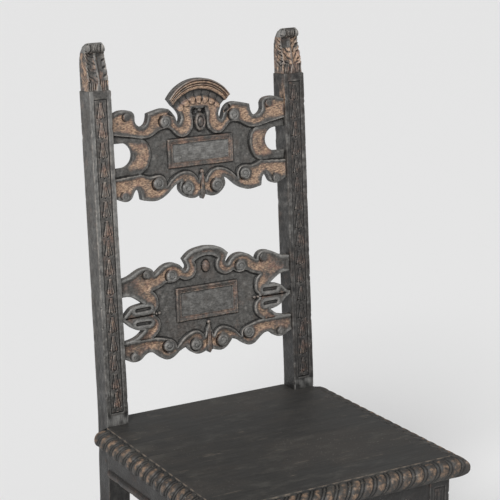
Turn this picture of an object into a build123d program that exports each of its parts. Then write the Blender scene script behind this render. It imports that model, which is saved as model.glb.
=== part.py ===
from build123d import *

import os
from math import cos, radians, sin, tan

# Carved wainscot chair.  Millimetres, +Z up, front towards -Y.
# The origin is on the floor, at the centre of the chair's footprint box.

# Seat
seat_height = 460.0            # floor to the top of the seat board
seat_thickness = 36.0
seat_depth = 397.5             # flat top, front edge to the back posts
seat_overhang = 0.7            # flat top outside the back posts, at the back
seat_taper = 6.4               # the flat top is this much wider on each side in front
gadroon_reach = 24.7           # carved edge outside the flat top
nose_flat = 3.0                # upright band along the middle of the carved edge
nail_pitch = 120.0

# Back posts
post_spread = 415.0            # across the outer faces of both posts
post_width = 40.5
post_depth = 38.0
shoulder_rise = 118.0          # middle of the crest panel to the shoulder under the finial
back_rake = 4.35               # degrees
bend_rise = 20.0               # the post leans back from here, above the seat
bend_radius = 400.0
foot_kick = 14.0               # the rear foot stands this far behind the plumb line
kick_height = 330.0
post_panel_width = 24.0
post_panel_base = 22.0         # plain block between the seat and the sunk panel
post_panel_margin = 14.0       # plain block between the panel and the shoulder
panel_sink = 1.5
shoulder_chamfer = 1.5

# Finials
finial_height = 78.5
finial_step = 1.0              # set in from the post on every side
finial_roll_radius = 8.0
finial_roll_setback = 12.5     # axis of the scroll behind the front of the post

# Front legs
leg_width = 39.4
leg_splay = 3.1                # outside the back posts
leg_overhang = 6.6             # in front of the flat top of the seat
leg_panel_width = 22.0
leg_panel_top = 12.0           # under the seat
leg_panel_base = 52.0          # above the floor
foot_flare = 3.5
foot_height = 26.0
foot_chamfer = 3.0

# Seat frame
seat_rail_height = 54.0
seat_rail_thickness = 22.0
front_rail_setback = 1.5       # behind the front face of the legs
side_rail_setback = 0.5        # inside the outer face of the posts
rear_rail_setback = 8.0        # behind the front face of the posts
rail_moulding_height = 13.0
rail_moulding_reach = 4.0

# Carved rails of the back; heights are measured along the posts from the seat
lower_height = 188.5           # seat to the middle of the lower panel
lower_drop = 92.5              # middle of the panel to the tip of the leaf below it
rail_spacing = 263.0           # middle to middle of both panels
crest_drop = 83.5
rail_recess = 5.0              # scrolls behind the front of the posts
relief = 5.5                   # scrolls above the sunk ground
board = 9.5                    # thickness of the ground
eye_rise = 2.0
frame_rise = 4.0
panel_rise = 1.0
boss_rise = 8.5

hood_rise = 124.0              # middle of the crest panel to the top of the hood
hood_half_width = 59.5
hood_sag = 32.0                # tips of the hood below its top
hood_ring = 19.0               # height of the hood at its middle
hood_end_slant = 9.0           # foot of each end cut nearer to the middle than the tip
hood_end_drop = 11.0           # and below it
hood_reach = 4.0               # in front of the scrolls

crest_boss_rise = 50.0         # above the middle of the panel
crest_boss_half_width = 10.0
crest_boss_half_height = 16.0
lower_boss_rise = 62.0
lower_boss_half_width = 7.0
lower_boss_half_height = 10.0

crest_frame_half_width = 63.5
crest_frame_half_height = 25.0
lower_frame_half_width = 61.0
lower_frame_half_height = 30.0
frame_width = 10.0

side_hole_rise = 6.0
side_hole_inset = 17.0         # centre of the round end to the post
side_hole_radius = 21.0
loop_slot_length = 32.0          # sunk slots of the looped side scrolls
loop_slot_width = 7.0
loop_slot_depth = 4.0

# Stretchers
front_stretcher_half_depth = 67.5
front_stretcher_drop = 87.5      # open space under the front seat rail
front_stretcher_setback = 12.0   # behind the front face of the legs
front_stretcher_tenon_half = 40.0
stretcher_boss_radius = 11.0
side_stretcher_height = 105.0    # floor to its middle
side_stretcher_depth = 42.0
side_stretcher_thickness = 24.0
rear_stretcher_rise = 60.0       # above the side stretchers
rear_stretcher_depth = 46.0
rear_stretcher_thickness = 22.0

# Joints and fastenings
tenon_length = 20.0
tenon_root = 6.0               # the tenons of the carved rails start this far inside the board
tenon_thickness = 8.0
tenon_clearance = 0.1          # on every side of a tenon
tenon_gap = 2.0                # between two tenons that meet inside a post or leg
mortise_end_gap = 1.0
tenon_shoulder = 8.0           # above and below the tenons of the plain rails
peg_radius = 3.2
peg_clearance = 0.05
peg_length = 26.0
peg_past = 2.6                 # the long pegs of the front rail end this far past its tenon
seat_rail_peg_spread = 10.0    # each side of the middle of a front or rear seat rail
stretcher_peg_spread = 24.0
nail_head_radius = 3.5
nail_head_thickness = 1.0
nail_radius = 1.5
nail_length = 52.0
nail_clearance = 0.05
notch_clearance = 0.2          # seat tongue to each post

# Patterns of the carved rails, drawn on squares from the centre line (x = 0) to a post, with
# height 0 at the middle of the panel.  Each list is one smooth stretch, and the stretches meet
# at carved corners.
crest_volute_top = [(40, 69), (37.5, 57), (42, 49.5), (46.5, 58), (50, 68), (58, 75.5),
                    (69, 78), (84, 76), (100, 72)]
crest_end_hook = [(100, 72), (101.5, 62), (106, 54), (113, 51), (121, 54.5), (125.5, 62),
                  (125.5, 71), (130, 78), (141, 81), (156, 80), (169.5, 76)]
crest_end_scroll = [(169.5, -65), (157, -70), (146, -71.5), (137.5, -67), (133.5, -59),
                    (127, -52.5), (121.5, -57), (119.5, -65), (118.5, -72.5)]
crest_outer_volute = [(118.5, -72.5), (108, -75), (96, -76.5), (83, -74.5), (71, -68.5),
                      (61, -60), (52, -53), (43, -49)]
crest_centre_volute = [(43, -49), (44.5, -62), (36, -74), (21, -79.5), (10, -77.5), (5.5, -74.5)]
crest_leaf_tip = (0, -83.5)
crest_leaf_top = (0, -34)

crest_ground_cup = [(12, 72.5), (14.5, 61), (14, 49), (18, 36), (30, 27.5), (43, 29), (53, 38)]
crest_ground_volute = [(53, 38), (60, 43.5), (69, 44.5), (79, 42), (90, 36), (100, 32), (112, 31)]
crest_ground_side = [(112, 31), (104, 24), (99.5, 14), (98.5, 3), (101.5, -10), (108, -21),
                     (118, -28.5)]
crest_ground_outer = [(118, -28.5), (108, -32.5), (97, -34.5), (85, -33), (75, -37), (70, -46),
                      (70, -54)]
crest_ground_centre = [(70, -54), (61, -44), (49, -36), (36, -32), (23, -33.5), (12.5, -41),
                       (7, -51)]

lower_arch_end = [(0, 97), (18, 95), (35, 88.5), (45, 80)]
lower_notch = [(45, 80), (40.5, 72), (38.5, 64), (42, 60.5), (46.5, 64), (53, 70.5), (62, 75),
               (73, 76), (85, 72.5), (94, 66.5), (102.5, 60.5)]
lower_end_hook = [(102.5, 60.5), (104.5, 67), (110, 72.5), (120, 74.5), (132, 72), (143, 67),
                  (153, 62.5), (169.5, 59.5)]
lower_side_upper = [(169.5, 29.5), (150, 28), (139, 22), (127, 13)]
lower_side_loop = [(127, 13), (139, 12), (150, 9), (157, 3.5), (169.5, -5.5)]
lower_side_under = [(169.5, -12.5), (158, -19.5), (150, -26), (141, -30.5), (128, -33.5)]
lower_side_lower = [(128, -33.5), (138, -41), (151, -46.5), (169.5, -48.5)]
lower_end_scroll = [(169.5, -78), (157, -83.5), (146, -85.5), (137, -83.5), (130, -78)]
lower_outer_volute = [(130, -78), (120, -73.5), (109, -76.5), (100, -83.5), (91, -89.5),
                      (80, -91), (69, -86.5), (60, -79.5), (46, -74)]
lower_centre_volute = [(46, -74), (42, -79), (36, -85.5), (28, -90.2), (17, -90.5), (6, -86.5)]
lower_leaf_tip = (0, -92.5)
lower_leaf_top = (0, -38)

lower_ground_arch = [(0, 81), (13, 79), (24, 73)]
lower_ground_cup = [(24, 73), (20.5, 66), (20.5, 57), (25, 48.5), (34, 43.5), (44, 43.5), (54, 48)]
lower_ground_volute = [(54, 48), (62, 43.5), (71, 42), (80, 44), (88, 40), (97, 35.5), (108, 33)]
lower_ground_upper_c = [(108, 33), (100.5, 24), (97.5, 14), (99, 3), (105, -4)]
lower_ground_lower_c = [(105, -11), (98, -17), (95.5, -27), (99, -39), (110, -49)]
lower_ground_outer = [(110, -49), (96, -51.5), (83, -54.5), (73, -58.5), (66.5, -65), (65, -72)]
lower_ground_centre = [(65, -72), (58, -65), (49, -57), (38, -51), (27, -49), (16, -53), (9, -62)]

# Raised eyes in the middle of the scrolls: x, height, radius
crest_eyes = [(68, 55.5, 9.5), (140, 69.5, 6), (29, -62, 11), (86, -48, 10), (150, -63, 7)]
lower_border_eyes = [(26.5, -74, 10.5), (81, -68, 10), (148, -77, 7)]
lower_eyes = [(69.5, 53, 10), (117, 62, 7), (96, -7.5, 3)] + lower_border_eyes
loop_slots = [(128, 3.5), (128, -21)]      # middle of each sunk slot of the side loops

crest_tenons = [(-61, -25), (37, 71)]      # foot and head of each tenon
lower_tenons = [(-74, -52), (35, 55)]

# The front stretcher is the lower border of the back with the same border turned over above it
stretcher_axis = (0, -25)
stretcher_waist = (98, -25)
stretcher_leaf = (0, -45)

# Finial: setback from the front of the post and height, then half width and height
finial_front_profile = [(2, 0), (3, 14), (6, 30), (10, 44), (13, 56)]
finial_back_profile = [(13, 78.5), (21, 77), (28, 72), (33, 62), (36, 50), (37, 38)]
finial_half_outline = [(19, 0), (19, 28), (18.8, 52), (18, 63), (15.8, 72), (12.5, 78.5)]

# Places that follow from the sizes above
crest_height = lower_height + rail_spacing
post_height = crest_height + shoulder_rise
rake = radians(back_rake)
post_outer = post_spread / 2
post_inner = post_outer - post_width
post_centre = (post_outer + post_inner) / 2
leg_outer = post_outer + leg_splay
leg_inner = leg_outer - leg_width
leg_centre = leg_outer - leg_width / 2
seat_underside = seat_height - seat_thickness
nose_radius = (seat_thickness - nose_flat) / 2
nose_half_rear = post_outer + seat_overhang + gadroon_reach
nose_half_front = nose_half_rear + seat_taper
front_reach = seat_depth + gadroon_reach
finial_up = finial_height / finial_back_profile[0][1]
finial_back_scale = (post_depth - finial_step) / finial_back_profile[-1][0]
finial_across = (post_width / 2 - finial_step) / finial_half_outline[0][0]
straight_back = post_height + finial_back_profile[-1][1] * finial_up
rear_reach = ((straight_back - bend_rise) * sin(rake)
              + (post_depth - finial_step) * cos(rake))
post_front = (front_reach - rear_reach) / 2
post_rear = post_front + post_depth
leg_face = post_front - seat_depth - leg_overhang
leg_back = leg_face + leg_width

# The raked front plane of the posts: local y runs up the posts from the seat,
# local z comes out towards the sitter.
back = Plane(
    origin=(0, post_front - bend_rise * tan(rake), seat_height),
    x_dir=(1, 0, 0),
    z_dir=(0, -cos(rake), sin(rake)),
)
scroll_face = -rail_recess
ground_face = scroll_face - relief
board_back = ground_face - board
rail_tenon_centre = ground_face - board / 2

hood_top = (0, crest_height + hood_rise)
hood_tip = (hood_half_width, hood_top[1] - hood_sag)
hood_heel = (hood_tip[0] - hood_end_slant, hood_tip[1] - hood_end_drop)
shell_top = (0, hood_top[1] - hood_ring)
side_hole_centre = post_inner - side_hole_inset
side_hole_height = crest_height + side_hole_rise


def kicked_front(height):
    """Front face of a rear leg at a height above the floor."""
    share = max(0.0, 1 - height / kick_height)
    return post_front + foot_kick * share


def fitted(half_width, middle, drop, pattern_drop):
    """The rule that turns squares of a pattern into places on a rail."""
    across = half_width / crest_end_hook[-1][0]
    up = drop / pattern_drop
    return lambda points: [(x * across, middle + y * up) for x, y in points]


on_crest = fitted(post_inner, crest_height, crest_drop, -crest_leaf_tip[1])
on_lower = fitted(post_inner, lower_height, lower_drop, -lower_leaf_tip[1])


def smooth(points):
    """One smooth carved stretch on both halves."""
    Spline(*points)
    Spline(*[(-x, y) for x, y in points])


def straight(start, end):
    """One straight stretch on both halves."""
    Line(start, end)
    Line((-start[0], start[1]), (-end[0], end[1]))


def arch(top, end):
    """An arc over the centre line, from one end to its mirror image."""
    ThreePointArc((-end[0], end[1]), top, end)


def paired(places):
    """The same places on both sides of the centre line."""
    return [(side * x, y) for x, y in places for side in (1, -1)]


def circles(rounds, on_rail):
    """Round forms of a pattern, each given by its centre and radius, on both halves."""
    for x, y, radius in rounds:
        (centre, rim) = on_rail([(x, y), (x + radius, y)])
        with Locations(*paired([centre])):
            Circle(rim[0] - centre[0])


def pins(places, radius, length):
    """Round pins driven from each place along its own +Z."""
    with Locations(*places):
        Cylinder(radius, length, align=(Align.CENTER, Align.CENTER, Align.MIN))


# ---- Places of the rails, stretchers, nails and pegs
rail_foot = seat_underside - seat_rail_height
rail_middle = seat_underside - seat_rail_height / 2
rail_tenon_height = seat_rail_height - 2 * tenon_shoulder
front_rail_centre = leg_face + front_rail_setback + seat_rail_thickness / 2
side_rail_centre = post_outer - side_rail_setback - seat_rail_thickness / 2
rear_rail_centre = post_front + rear_rail_setback + seat_rail_thickness / 2
# In a leg the side tenon stops behind the front tenon; in a post the rear tenon stops
# beside the side tenon.
side_tenon_length = leg_back - front_rail_centre - tenon_thickness / 2 - tenon_gap
rear_tenon_length = side_rail_centre - tenon_thickness / 2 - tenon_gap - post_inner
side_rail_middle = (leg_back + post_front) / 2
side_rail_length = post_front - leg_back

rear_stretcher_height = side_stretcher_height + rear_stretcher_rise
side_stretcher_foot = side_stretcher_height - side_stretcher_depth / 2
side_stretcher_head = side_stretcher_height + side_stretcher_depth / 2
side_stretcher_tenon = side_stretcher_depth - 2 * tenon_shoulder
side_stretcher_rear = kicked_front(side_stretcher_height)
side_stretcher_length = side_stretcher_rear - leg_back
side_stretcher_middle = (leg_back + side_stretcher_rear) / 2
rear_stretcher_centre = kicked_front(rear_stretcher_height) + post_depth / 2
rear_stretcher_tenon = rear_stretcher_depth - 2 * tenon_shoulder

front_stretcher_height = rail_foot - front_stretcher_drop - front_stretcher_half_depth
front_stretcher_face = Plane(
    origin=(0, leg_face + front_stretcher_setback, front_stretcher_height),
    x_dir=(1, 0, 0),
    z_dir=(0, -1, 0),
)
front_stretcher_tenon_centre = leg_face + front_stretcher_setback + relief + board / 2

nail_places = [(step * nail_pitch, front_rail_centre) for step in (-1, 0, 1)]
nail_places += [(side * side_rail_centre, side_rail_middle + step * nail_pitch)
                for side in (-1, 1) for step in (-1, 0, 1)]
nail_places += [(step * nail_pitch, rear_rail_centre) for step in (-1, 1)]

half_tenon = tenon_length / 2
long_peg_length = leg_back - front_rail_centre + tenon_thickness / 2 + peg_past


def tenons_of(pattern_tenons, on_rail):
    """Foot and head of each tenon of a carved rail, along the posts."""
    return [[y for x, y in on_rail([(0, foot), (0, head)])] for foot, head in pattern_tenons]


crest_tenon_ends = tenons_of(crest_tenons, on_crest)
lower_tenon_ends = tenons_of(lower_tenons, on_lower)


def carved_rail_peg_places(tenon_ends):
    """From the back of the posts through the tenons of a carved rail."""
    return [back * Location((side * (post_inner + half_tenon), (foot + head) / 2, -post_depth))
            for foot, head in tenon_ends for side in (-1, 1)]


crest_peg_places = carved_rail_peg_places(crest_tenon_ends)
lower_peg_places = carved_rail_peg_places(lower_tenon_ends)
front_rail_peg_places = [
    Location((side * (leg_inner + half_tenon), leg_back, rail_middle + step), (90, 0, 0))
    for side in (-1, 1) for step in (-seat_rail_peg_spread, seat_rail_peg_spread)]
rear_rail_peg_places = [
    Location((side * (post_inner + rear_tenon_length / 2), post_rear, rail_middle + step),
             (90, 0, 0))
    for side in (-1, 1) for step in (-seat_rail_peg_spread, seat_rail_peg_spread)]
side_rail_peg_places = [
    Location((side * outer, y, rail_middle), (0, -90 * side, 0))
    for side in (-1, 1)
    for outer, y in ((leg_outer, leg_back - side_tenon_length / 2),
                     (post_outer, post_front + side_tenon_length / 2))]
front_stretcher_peg_places = [
    Location((side * (leg_inner + half_tenon), leg_back, front_stretcher_height + step), (90, 0, 0))
    for side in (-1, 1) for step in (-stretcher_peg_spread, stretcher_peg_spread)]
rear_stretcher_peg_places = [
    Location((side * (post_inner + half_tenon), rear_stretcher_centre + post_depth / 2,
              rear_stretcher_height), (90, 0, 0)) for side in (-1, 1)]
side_stretcher_peg_places = [
    Location((side * outer, y, side_stretcher_height), (0, -90 * side, 0))
    for side in (-1, 1)
    for outer, y in ((leg_outer, leg_back - half_tenon),
                     (post_outer, side_stretcher_rear + half_tenon))]

with BuildPart() as peg_space:
    pins(crest_peg_places + lower_peg_places + rear_rail_peg_places + side_rail_peg_places
         + rear_stretcher_peg_places + side_stretcher_peg_places
         + front_stretcher_peg_places, peg_radius + peg_clearance, peg_length)
    pins(front_rail_peg_places, peg_radius + peg_clearance, long_peg_length)

with BuildPart() as nail_space:
    with Locations((0, 0, seat_height)):
        with Locations(*nail_places):
            Cylinder(nail_head_radius + nail_clearance, nail_head_thickness,
                     align=(Align.CENTER, Align.CENTER, Align.MAX))
            Cylinder(nail_radius + nail_clearance, nail_length,
                     align=(Align.CENTER, Align.CENTER, Align.MAX))

# Mortises are their tenons, wider all round and deeper at the end
mortise_thickness = tenon_thickness + 2 * tenon_clearance
mortise_length = tenon_length + mortise_end_gap
side_mortise_length = side_tenon_length + mortise_end_gap
rear_mortise_length = rear_tenon_length + mortise_end_gap

with BuildPart() as mortises:
    for foot, head in crest_tenon_ends + lower_tenon_ends:
        with BuildSketch(back.offset(rail_tenon_centre - mortise_thickness / 2)):
            with Locations((0, (foot + head) / 2)):
                Rectangle(2 * (post_inner + mortise_length), head - foot + 2 * tenon_clearance)
        extrude(amount=mortise_thickness)
    with Locations((0, front_rail_centre, rail_middle)):
        Box(2 * (leg_inner + mortise_length), mortise_thickness,
            rail_tenon_height + 2 * tenon_clearance)
    with Locations((0, rear_rail_centre, rail_middle)):
        Box(2 * (post_inner + rear_mortise_length), mortise_thickness,
            rail_tenon_height + 2 * tenon_clearance)
    with Locations(*[(side * side_rail_centre, side_rail_middle, rail_middle) for side in (-1, 1)]):
        Box(mortise_thickness, side_rail_length + 2 * side_mortise_length,
            rail_tenon_height + 2 * tenon_clearance)
    with Locations((0, front_stretcher_tenon_centre, front_stretcher_height)):
        Box(2 * (leg_inner + mortise_length), mortise_thickness,
            2 * (front_stretcher_tenon_half + tenon_clearance))
    with Locations((0, rear_stretcher_centre, rear_stretcher_height)):
        Box(2 * (post_inner + mortise_length), mortise_thickness,
            rear_stretcher_tenon + 2 * tenon_clearance)
    with Locations(*[(side * post_centre, side_stretcher_middle, side_stretcher_height)
                     for side in (-1, 1)]):
        Box(mortise_thickness, side_stretcher_length + 2 * mortise_length,
            side_stretcher_tenon + 2 * tenon_clearance)

# ---- Seat board: rounded carved edge on three sides, mitred at the front corners and cut
# square where it meets the posts, with a tongue between them
with BuildPart() as seat_board:
    with BuildSketch(Plane.XY.offset(seat_underside)):
        with BuildLine():
            Polyline(
                (nose_half_front, post_front - front_reach),
                (nose_half_rear, post_front),
                (-nose_half_rear, post_front),
                (-nose_half_front, post_front - front_reach),
                close=True,
            )
        make_face()
    extrude(amount=seat_thickness)
    board_rims = seat_board.faces().filter_by(Axis.Z).edges().group_by(Axis.Y)
    fillet([rim for rims in board_rims[:-1] for rim in rims], nose_radius)
    with Locations((0, post_front, seat_underside)):
        Box(2 * (post_inner - notch_clearance), post_depth, seat_thickness,
            align=(Align.CENTER, Align.MIN, Align.MIN))
    add(nail_space.part, mode=Mode.SUBTRACT)

with BuildPart() as seat_nails:
    with Locations((0, 0, seat_height)):
        with Locations(*nail_places):
            Cylinder(nail_head_radius, nail_head_thickness,
                     align=(Align.CENTER, Align.CENTER, Align.MAX))
            Cylinder(nail_radius, nail_length, align=(Align.CENTER, Align.CENTER, Align.MAX))

# ---- Rails of the seat frame
with BuildPart() as front_seat_rail:
    with Locations((0, front_rail_centre, rail_middle)):
        Box(2 * leg_inner, seat_rail_thickness, seat_rail_height)
        Box(2 * (leg_inner + tenon_length), tenon_thickness, rail_tenon_height)
    add(nail_space.part, mode=Mode.SUBTRACT)
    add(peg_space.part, mode=Mode.SUBTRACT)

with BuildPart() as rear_seat_rail:
    with Locations((0, rear_rail_centre, rail_middle)):
        Box(2 * post_inner, seat_rail_thickness, seat_rail_height)
        Box(2 * (post_inner + rear_tenon_length), tenon_thickness, rail_tenon_height)
    add(nail_space.part, mode=Mode.SUBTRACT)
    add(peg_space.part, mode=Mode.SUBTRACT)

# The side rails carry a rounded moulding along their lower edge
with BuildPart() as side_seat_rail_left:
    with BuildSketch(Plane.XZ.offset(-leg_back)):
        with Locations((-side_rail_centre, rail_middle)):
            Rectangle(seat_rail_thickness, seat_rail_height)
        with Locations((-post_outer + side_rail_setback, rail_foot + rail_moulding_height / 2)):
            Ellipse(rail_moulding_reach, rail_moulding_height / 2)
    extrude(amount=-side_rail_length)
    with Locations((-side_rail_centre, side_rail_middle, rail_middle)):
        Box(tenon_thickness, side_rail_length + 2 * side_tenon_length, rail_tenon_height)
    add(nail_space.part, mode=Mode.SUBTRACT)
    add(peg_space.part, mode=Mode.SUBTRACT)

with BuildPart() as side_seat_rail_right:
    add(mirror(side_seat_rail_left.part, about=Plane.YZ, mode=Mode.PRIVATE))

# ---- Crest rail: pierced board with raised scrolls, hood, shell, boss and framed panel
with BuildPart() as crest_rail:
    with BuildSketch(back.offset(board_back)) as crest_outline:
        with BuildLine():
            arch(hood_top, hood_tip)
            straight(hood_tip, hood_heel)
            smooth([hood_heel, *on_crest(crest_volute_top)])
            smooth(on_crest(crest_end_hook))
            straight(*on_crest([crest_end_hook[-1], crest_end_scroll[0]]))
            smooth(on_crest(crest_end_scroll))
            smooth(on_crest(crest_outer_volute))
            smooth(on_crest(crest_centre_volute))
            straight(*on_crest([crest_centre_volute[-1], crest_leaf_tip]))
        make_face()
        with Locations(*paired([(side_hole_centre, side_hole_height)])):
            Circle(side_hole_radius, mode=Mode.SUBTRACT)
        with Locations(*paired([((side_hole_centre + post_inner) / 2, side_hole_height)])):
            Rectangle(post_inner - side_hole_centre, 2 * side_hole_radius, mode=Mode.SUBTRACT)
    extrude(amount=board)
    with BuildSketch(back.offset(ground_face)):
        add(crest_outline.sketch_local)
        with BuildLine():
            (cup_top,) = on_crest(crest_ground_cup[:1])
            Line((-cup_top[0], cup_top[1]), cup_top)
            smooth(on_crest(crest_ground_cup))
            smooth(on_crest(crest_ground_volute))
            smooth(on_crest(crest_ground_side))
            smooth(on_crest(crest_ground_outer))
            smooth(on_crest(crest_ground_centre))
            straight(*on_crest([crest_ground_centre[-1], crest_leaf_top]))
        make_face(mode=Mode.SUBTRACT)
    extrude(amount=relief)
    with BuildSketch(back.offset(ground_face)):
        with BuildLine():
            arch(hood_top, hood_tip)
            arch(shell_top, hood_heel)
            straight(hood_tip, hood_heel)
        make_face()
    extrude(amount=relief + hood_reach)
    with BuildSketch(back.offset(ground_face)):
        circles(crest_eyes, on_crest)
    extrude(amount=relief + eye_rise)
    with BuildSketch(back.offset(ground_face)):
        with Locations((0, crest_height)):
            Rectangle(2 * crest_frame_half_width, 2 * crest_frame_half_height)
            Rectangle(2 * (crest_frame_half_width - frame_width),
                      2 * (crest_frame_half_height - frame_width), mode=Mode.SUBTRACT)
    extrude(amount=frame_rise)
    with BuildSketch(back.offset(ground_face)):
        with Locations((0, crest_height)):
            Rectangle(2 * (crest_frame_half_width - frame_width),
                      2 * (crest_frame_half_height - frame_width))
    extrude(amount=panel_rise)
    with BuildSketch(back.offset(ground_face)):
        with Locations((0, crest_height + crest_boss_rise)):
            Ellipse(crest_boss_half_width, crest_boss_half_height)
    extrude(amount=boss_rise)
    for foot, head in crest_tenon_ends:
        with BuildSketch(back.offset(rail_tenon_centre - tenon_thickness / 2)):
            with Locations(*paired([(post_inner + half_tenon - tenon_root / 2, (foot + head) / 2)])):
                Rectangle(tenon_length + tenon_root, head - foot)
        extrude(amount=tenon_thickness)
    add(peg_space.part, mode=Mode.SUBTRACT)

# ---- Lower back rail: the same kind of board, with looped side scrolls
with BuildPart() as lower_back_rail:
    with BuildSketch(back.offset(board_back)) as lower_outline:
        with BuildLine():
            smooth(on_lower(lower_arch_end))
            smooth(on_lower(lower_notch))
            smooth(on_lower(lower_end_hook))
            straight(*on_lower([lower_end_hook[-1], lower_side_upper[0]]))
            smooth(on_lower(lower_side_upper))
            smooth(on_lower(lower_side_loop))
            straight(*on_lower([lower_side_loop[-1], lower_side_under[0]]))
            smooth(on_lower(lower_side_under))
            smooth(on_lower(lower_side_lower))
            straight(*on_lower([lower_side_lower[-1], lower_end_scroll[0]]))
            smooth(on_lower(lower_end_scroll))
            smooth(on_lower(lower_outer_volute))
            smooth(on_lower(lower_centre_volute))
            straight(*on_lower([lower_centre_volute[-1], lower_leaf_tip]))
        make_face()
    extrude(amount=board)
    with BuildSketch(back.offset(ground_face)):
        add(lower_outline.sketch_local)
        with BuildLine():
            smooth(on_lower(lower_ground_arch))
            smooth(on_lower(lower_ground_cup))
            smooth(on_lower(lower_ground_volute))
            smooth(on_lower(lower_ground_upper_c))
            straight(*on_lower([lower_ground_upper_c[-1], lower_ground_lower_c[0]]))
            smooth(on_lower(lower_ground_lower_c))
            smooth(on_lower(lower_ground_outer))
            smooth(on_lower(lower_ground_centre))
            straight(*on_lower([lower_ground_centre[-1], lower_leaf_top]))
        make_face(mode=Mode.SUBTRACT)
    extrude(amount=relief)
    with BuildSketch(back.offset(ground_face)):
        circles(lower_eyes, on_lower)
    extrude(amount=relief + eye_rise)
    with BuildSketch(back.offset(scroll_face)):
        with Locations(*paired(on_lower(loop_slots))):
            SlotOverall(loop_slot_length, loop_slot_width)
    extrude(amount=-loop_slot_depth, mode=Mode.SUBTRACT)
    with BuildSketch(back.offset(ground_face)):
        with Locations((0, lower_height)):
            Rectangle(2 * lower_frame_half_width, 2 * lower_frame_half_height)
            Rectangle(2 * (lower_frame_half_width - frame_width),
                      2 * (lower_frame_half_height - frame_width), mode=Mode.SUBTRACT)
    extrude(amount=frame_rise)
    with BuildSketch(back.offset(ground_face)):
        with Locations((0, lower_height)):
            Rectangle(2 * (lower_frame_half_width - frame_width),
                      2 * (lower_frame_half_height - frame_width))
    extrude(amount=panel_rise)
    with BuildSketch(back.offset(ground_face)):
        with Locations((0, lower_height + lower_boss_rise)):
            Ellipse(lower_boss_half_width, lower_boss_half_height)
    extrude(amount=boss_rise)
    for foot, head in lower_tenon_ends:
        with BuildSketch(back.offset(rail_tenon_centre - tenon_thickness / 2)):
            with Locations(*paired([(post_inner + half_tenon - tenon_root / 2, (foot + head) / 2)])):
                Rectangle(tenon_length + tenon_root, head - foot)
        extrude(amount=tenon_thickness)
    add(peg_space.part, mode=Mode.SUBTRACT)

# ---- Front stretcher: two scrolled borders around a sunk ground, with a round boss
def upright(squares):
    """Places on the front stretcher, from its middle."""
    pattern_drop = stretcher_axis[1] - lower_leaf_tip[1]
    up = front_stretcher_half_depth / pattern_drop
    return fitted(leg_inner, -stretcher_axis[1] * up, up, 1)(squares)


def turned_over(squares):
    """The same places, mirrored above the axis of the front stretcher."""
    return [(x, -y) for x, y in upright(squares)]


with BuildPart() as front_stretcher:
    with BuildSketch(front_stretcher_face.offset(-relief - board)) as stretcher_outline:
        with BuildLine():
            for border in (upright, turned_over):
                smooth(border(lower_end_scroll))
                smooth(border(lower_outer_volute))
                smooth(border(lower_centre_volute))
                straight(*border([lower_centre_volute[-1], lower_leaf_tip]))
            straight(*upright(lower_end_scroll[:1]), *turned_over(lower_end_scroll[:1]))
        make_face()
    extrude(amount=board)
    with BuildSketch(front_stretcher_face.offset(-relief)):
        add(stretcher_outline.sketch_local)
        with BuildLine():
            for border in (upright, turned_over):
                smooth(border(lower_ground_outer))
                smooth(border(lower_ground_centre))
                straight(*border([lower_ground_centre[-1], stretcher_leaf]))
            (side_foot, waist) = upright([lower_ground_outer[0], stretcher_waist])
            for side in (-1, 1):
                ThreePointArc((side * side_foot[0], side_foot[1]), (side * waist[0], 0),
                              (side * side_foot[0], -side_foot[1]))
        make_face(mode=Mode.SUBTRACT)
        Circle(stretcher_boss_radius)
    extrude(amount=relief)
    with BuildSketch(front_stretcher_face.offset(-relief)):
        circles(lower_border_eyes, upright)
        circles(lower_border_eyes, turned_over)
    extrude(amount=relief + eye_rise)
    with Locations((0, front_stretcher_tenon_centre, front_stretcher_height)):
        Box(2 * (leg_inner + tenon_length), tenon_thickness, 2 * front_stretcher_tenon_half)
    add(peg_space.part, mode=Mode.SUBTRACT)

# ---- Plain stretchers
with BuildPart() as rear_stretcher:
    with Locations((0, rear_stretcher_centre, rear_stretcher_height)):
        Box(2 * post_inner, rear_stretcher_thickness, rear_stretcher_depth)
        Box(2 * (post_inner + tenon_length), tenon_thickness, rear_stretcher_tenon)
    add(peg_space.part, mode=Mode.SUBTRACT)

# The rear shoulder follows the kicked front face of the rear leg
with BuildPart() as side_stretcher_left:
    with BuildSketch(Plane.YZ.offset(-post_centre - side_stretcher_thickness / 2)):
        with BuildLine():
            Polyline(
                (leg_back, side_stretcher_foot),
                (kicked_front(side_stretcher_foot), side_stretcher_foot),
                (kicked_front(side_stretcher_head), side_stretcher_head),
                (leg_back, side_stretcher_head),
                close=True,
            )
        make_face()
    extrude(amount=side_stretcher_thickness)
    with Locations((-post_centre, side_stretcher_middle, side_stretcher_height)):
        Box(tenon_thickness, side_stretcher_length + 2 * tenon_length, side_stretcher_tenon)
    add(peg_space.part, mode=Mode.SUBTRACT)

with BuildPart() as side_stretcher_right:
    add(mirror(side_stretcher_left.part, about=Plane.YZ, mode=Mode.PRIVATE))

# ---- Finial: leaf-shaped block that narrows to a neck under a forward scroll
finial_side = Plane(
    origin=back.from_local_coords((-post_outer + finial_step, post_height, 0)),
    x_dir=back.z_dir,
    z_dir=(-1, 0, 0),
)
finial_front = Plane(
    origin=back.from_local_coords((-post_centre, post_height, 0)),
    x_dir=(1, 0, 0),
    z_dir=back.z_dir,
)
roll_height = finial_height - finial_roll_radius
finial_front_line = [(-setback * finial_back_scale, rise * finial_up)
                     for setback, rise in finial_front_profile]
finial_back_line = [(-setback * finial_back_scale, rise * finial_up)
                    for setback, rise in finial_back_profile]
finial_edge = [(half * finial_across, rise * finial_up) for half, rise in finial_half_outline]

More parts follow.
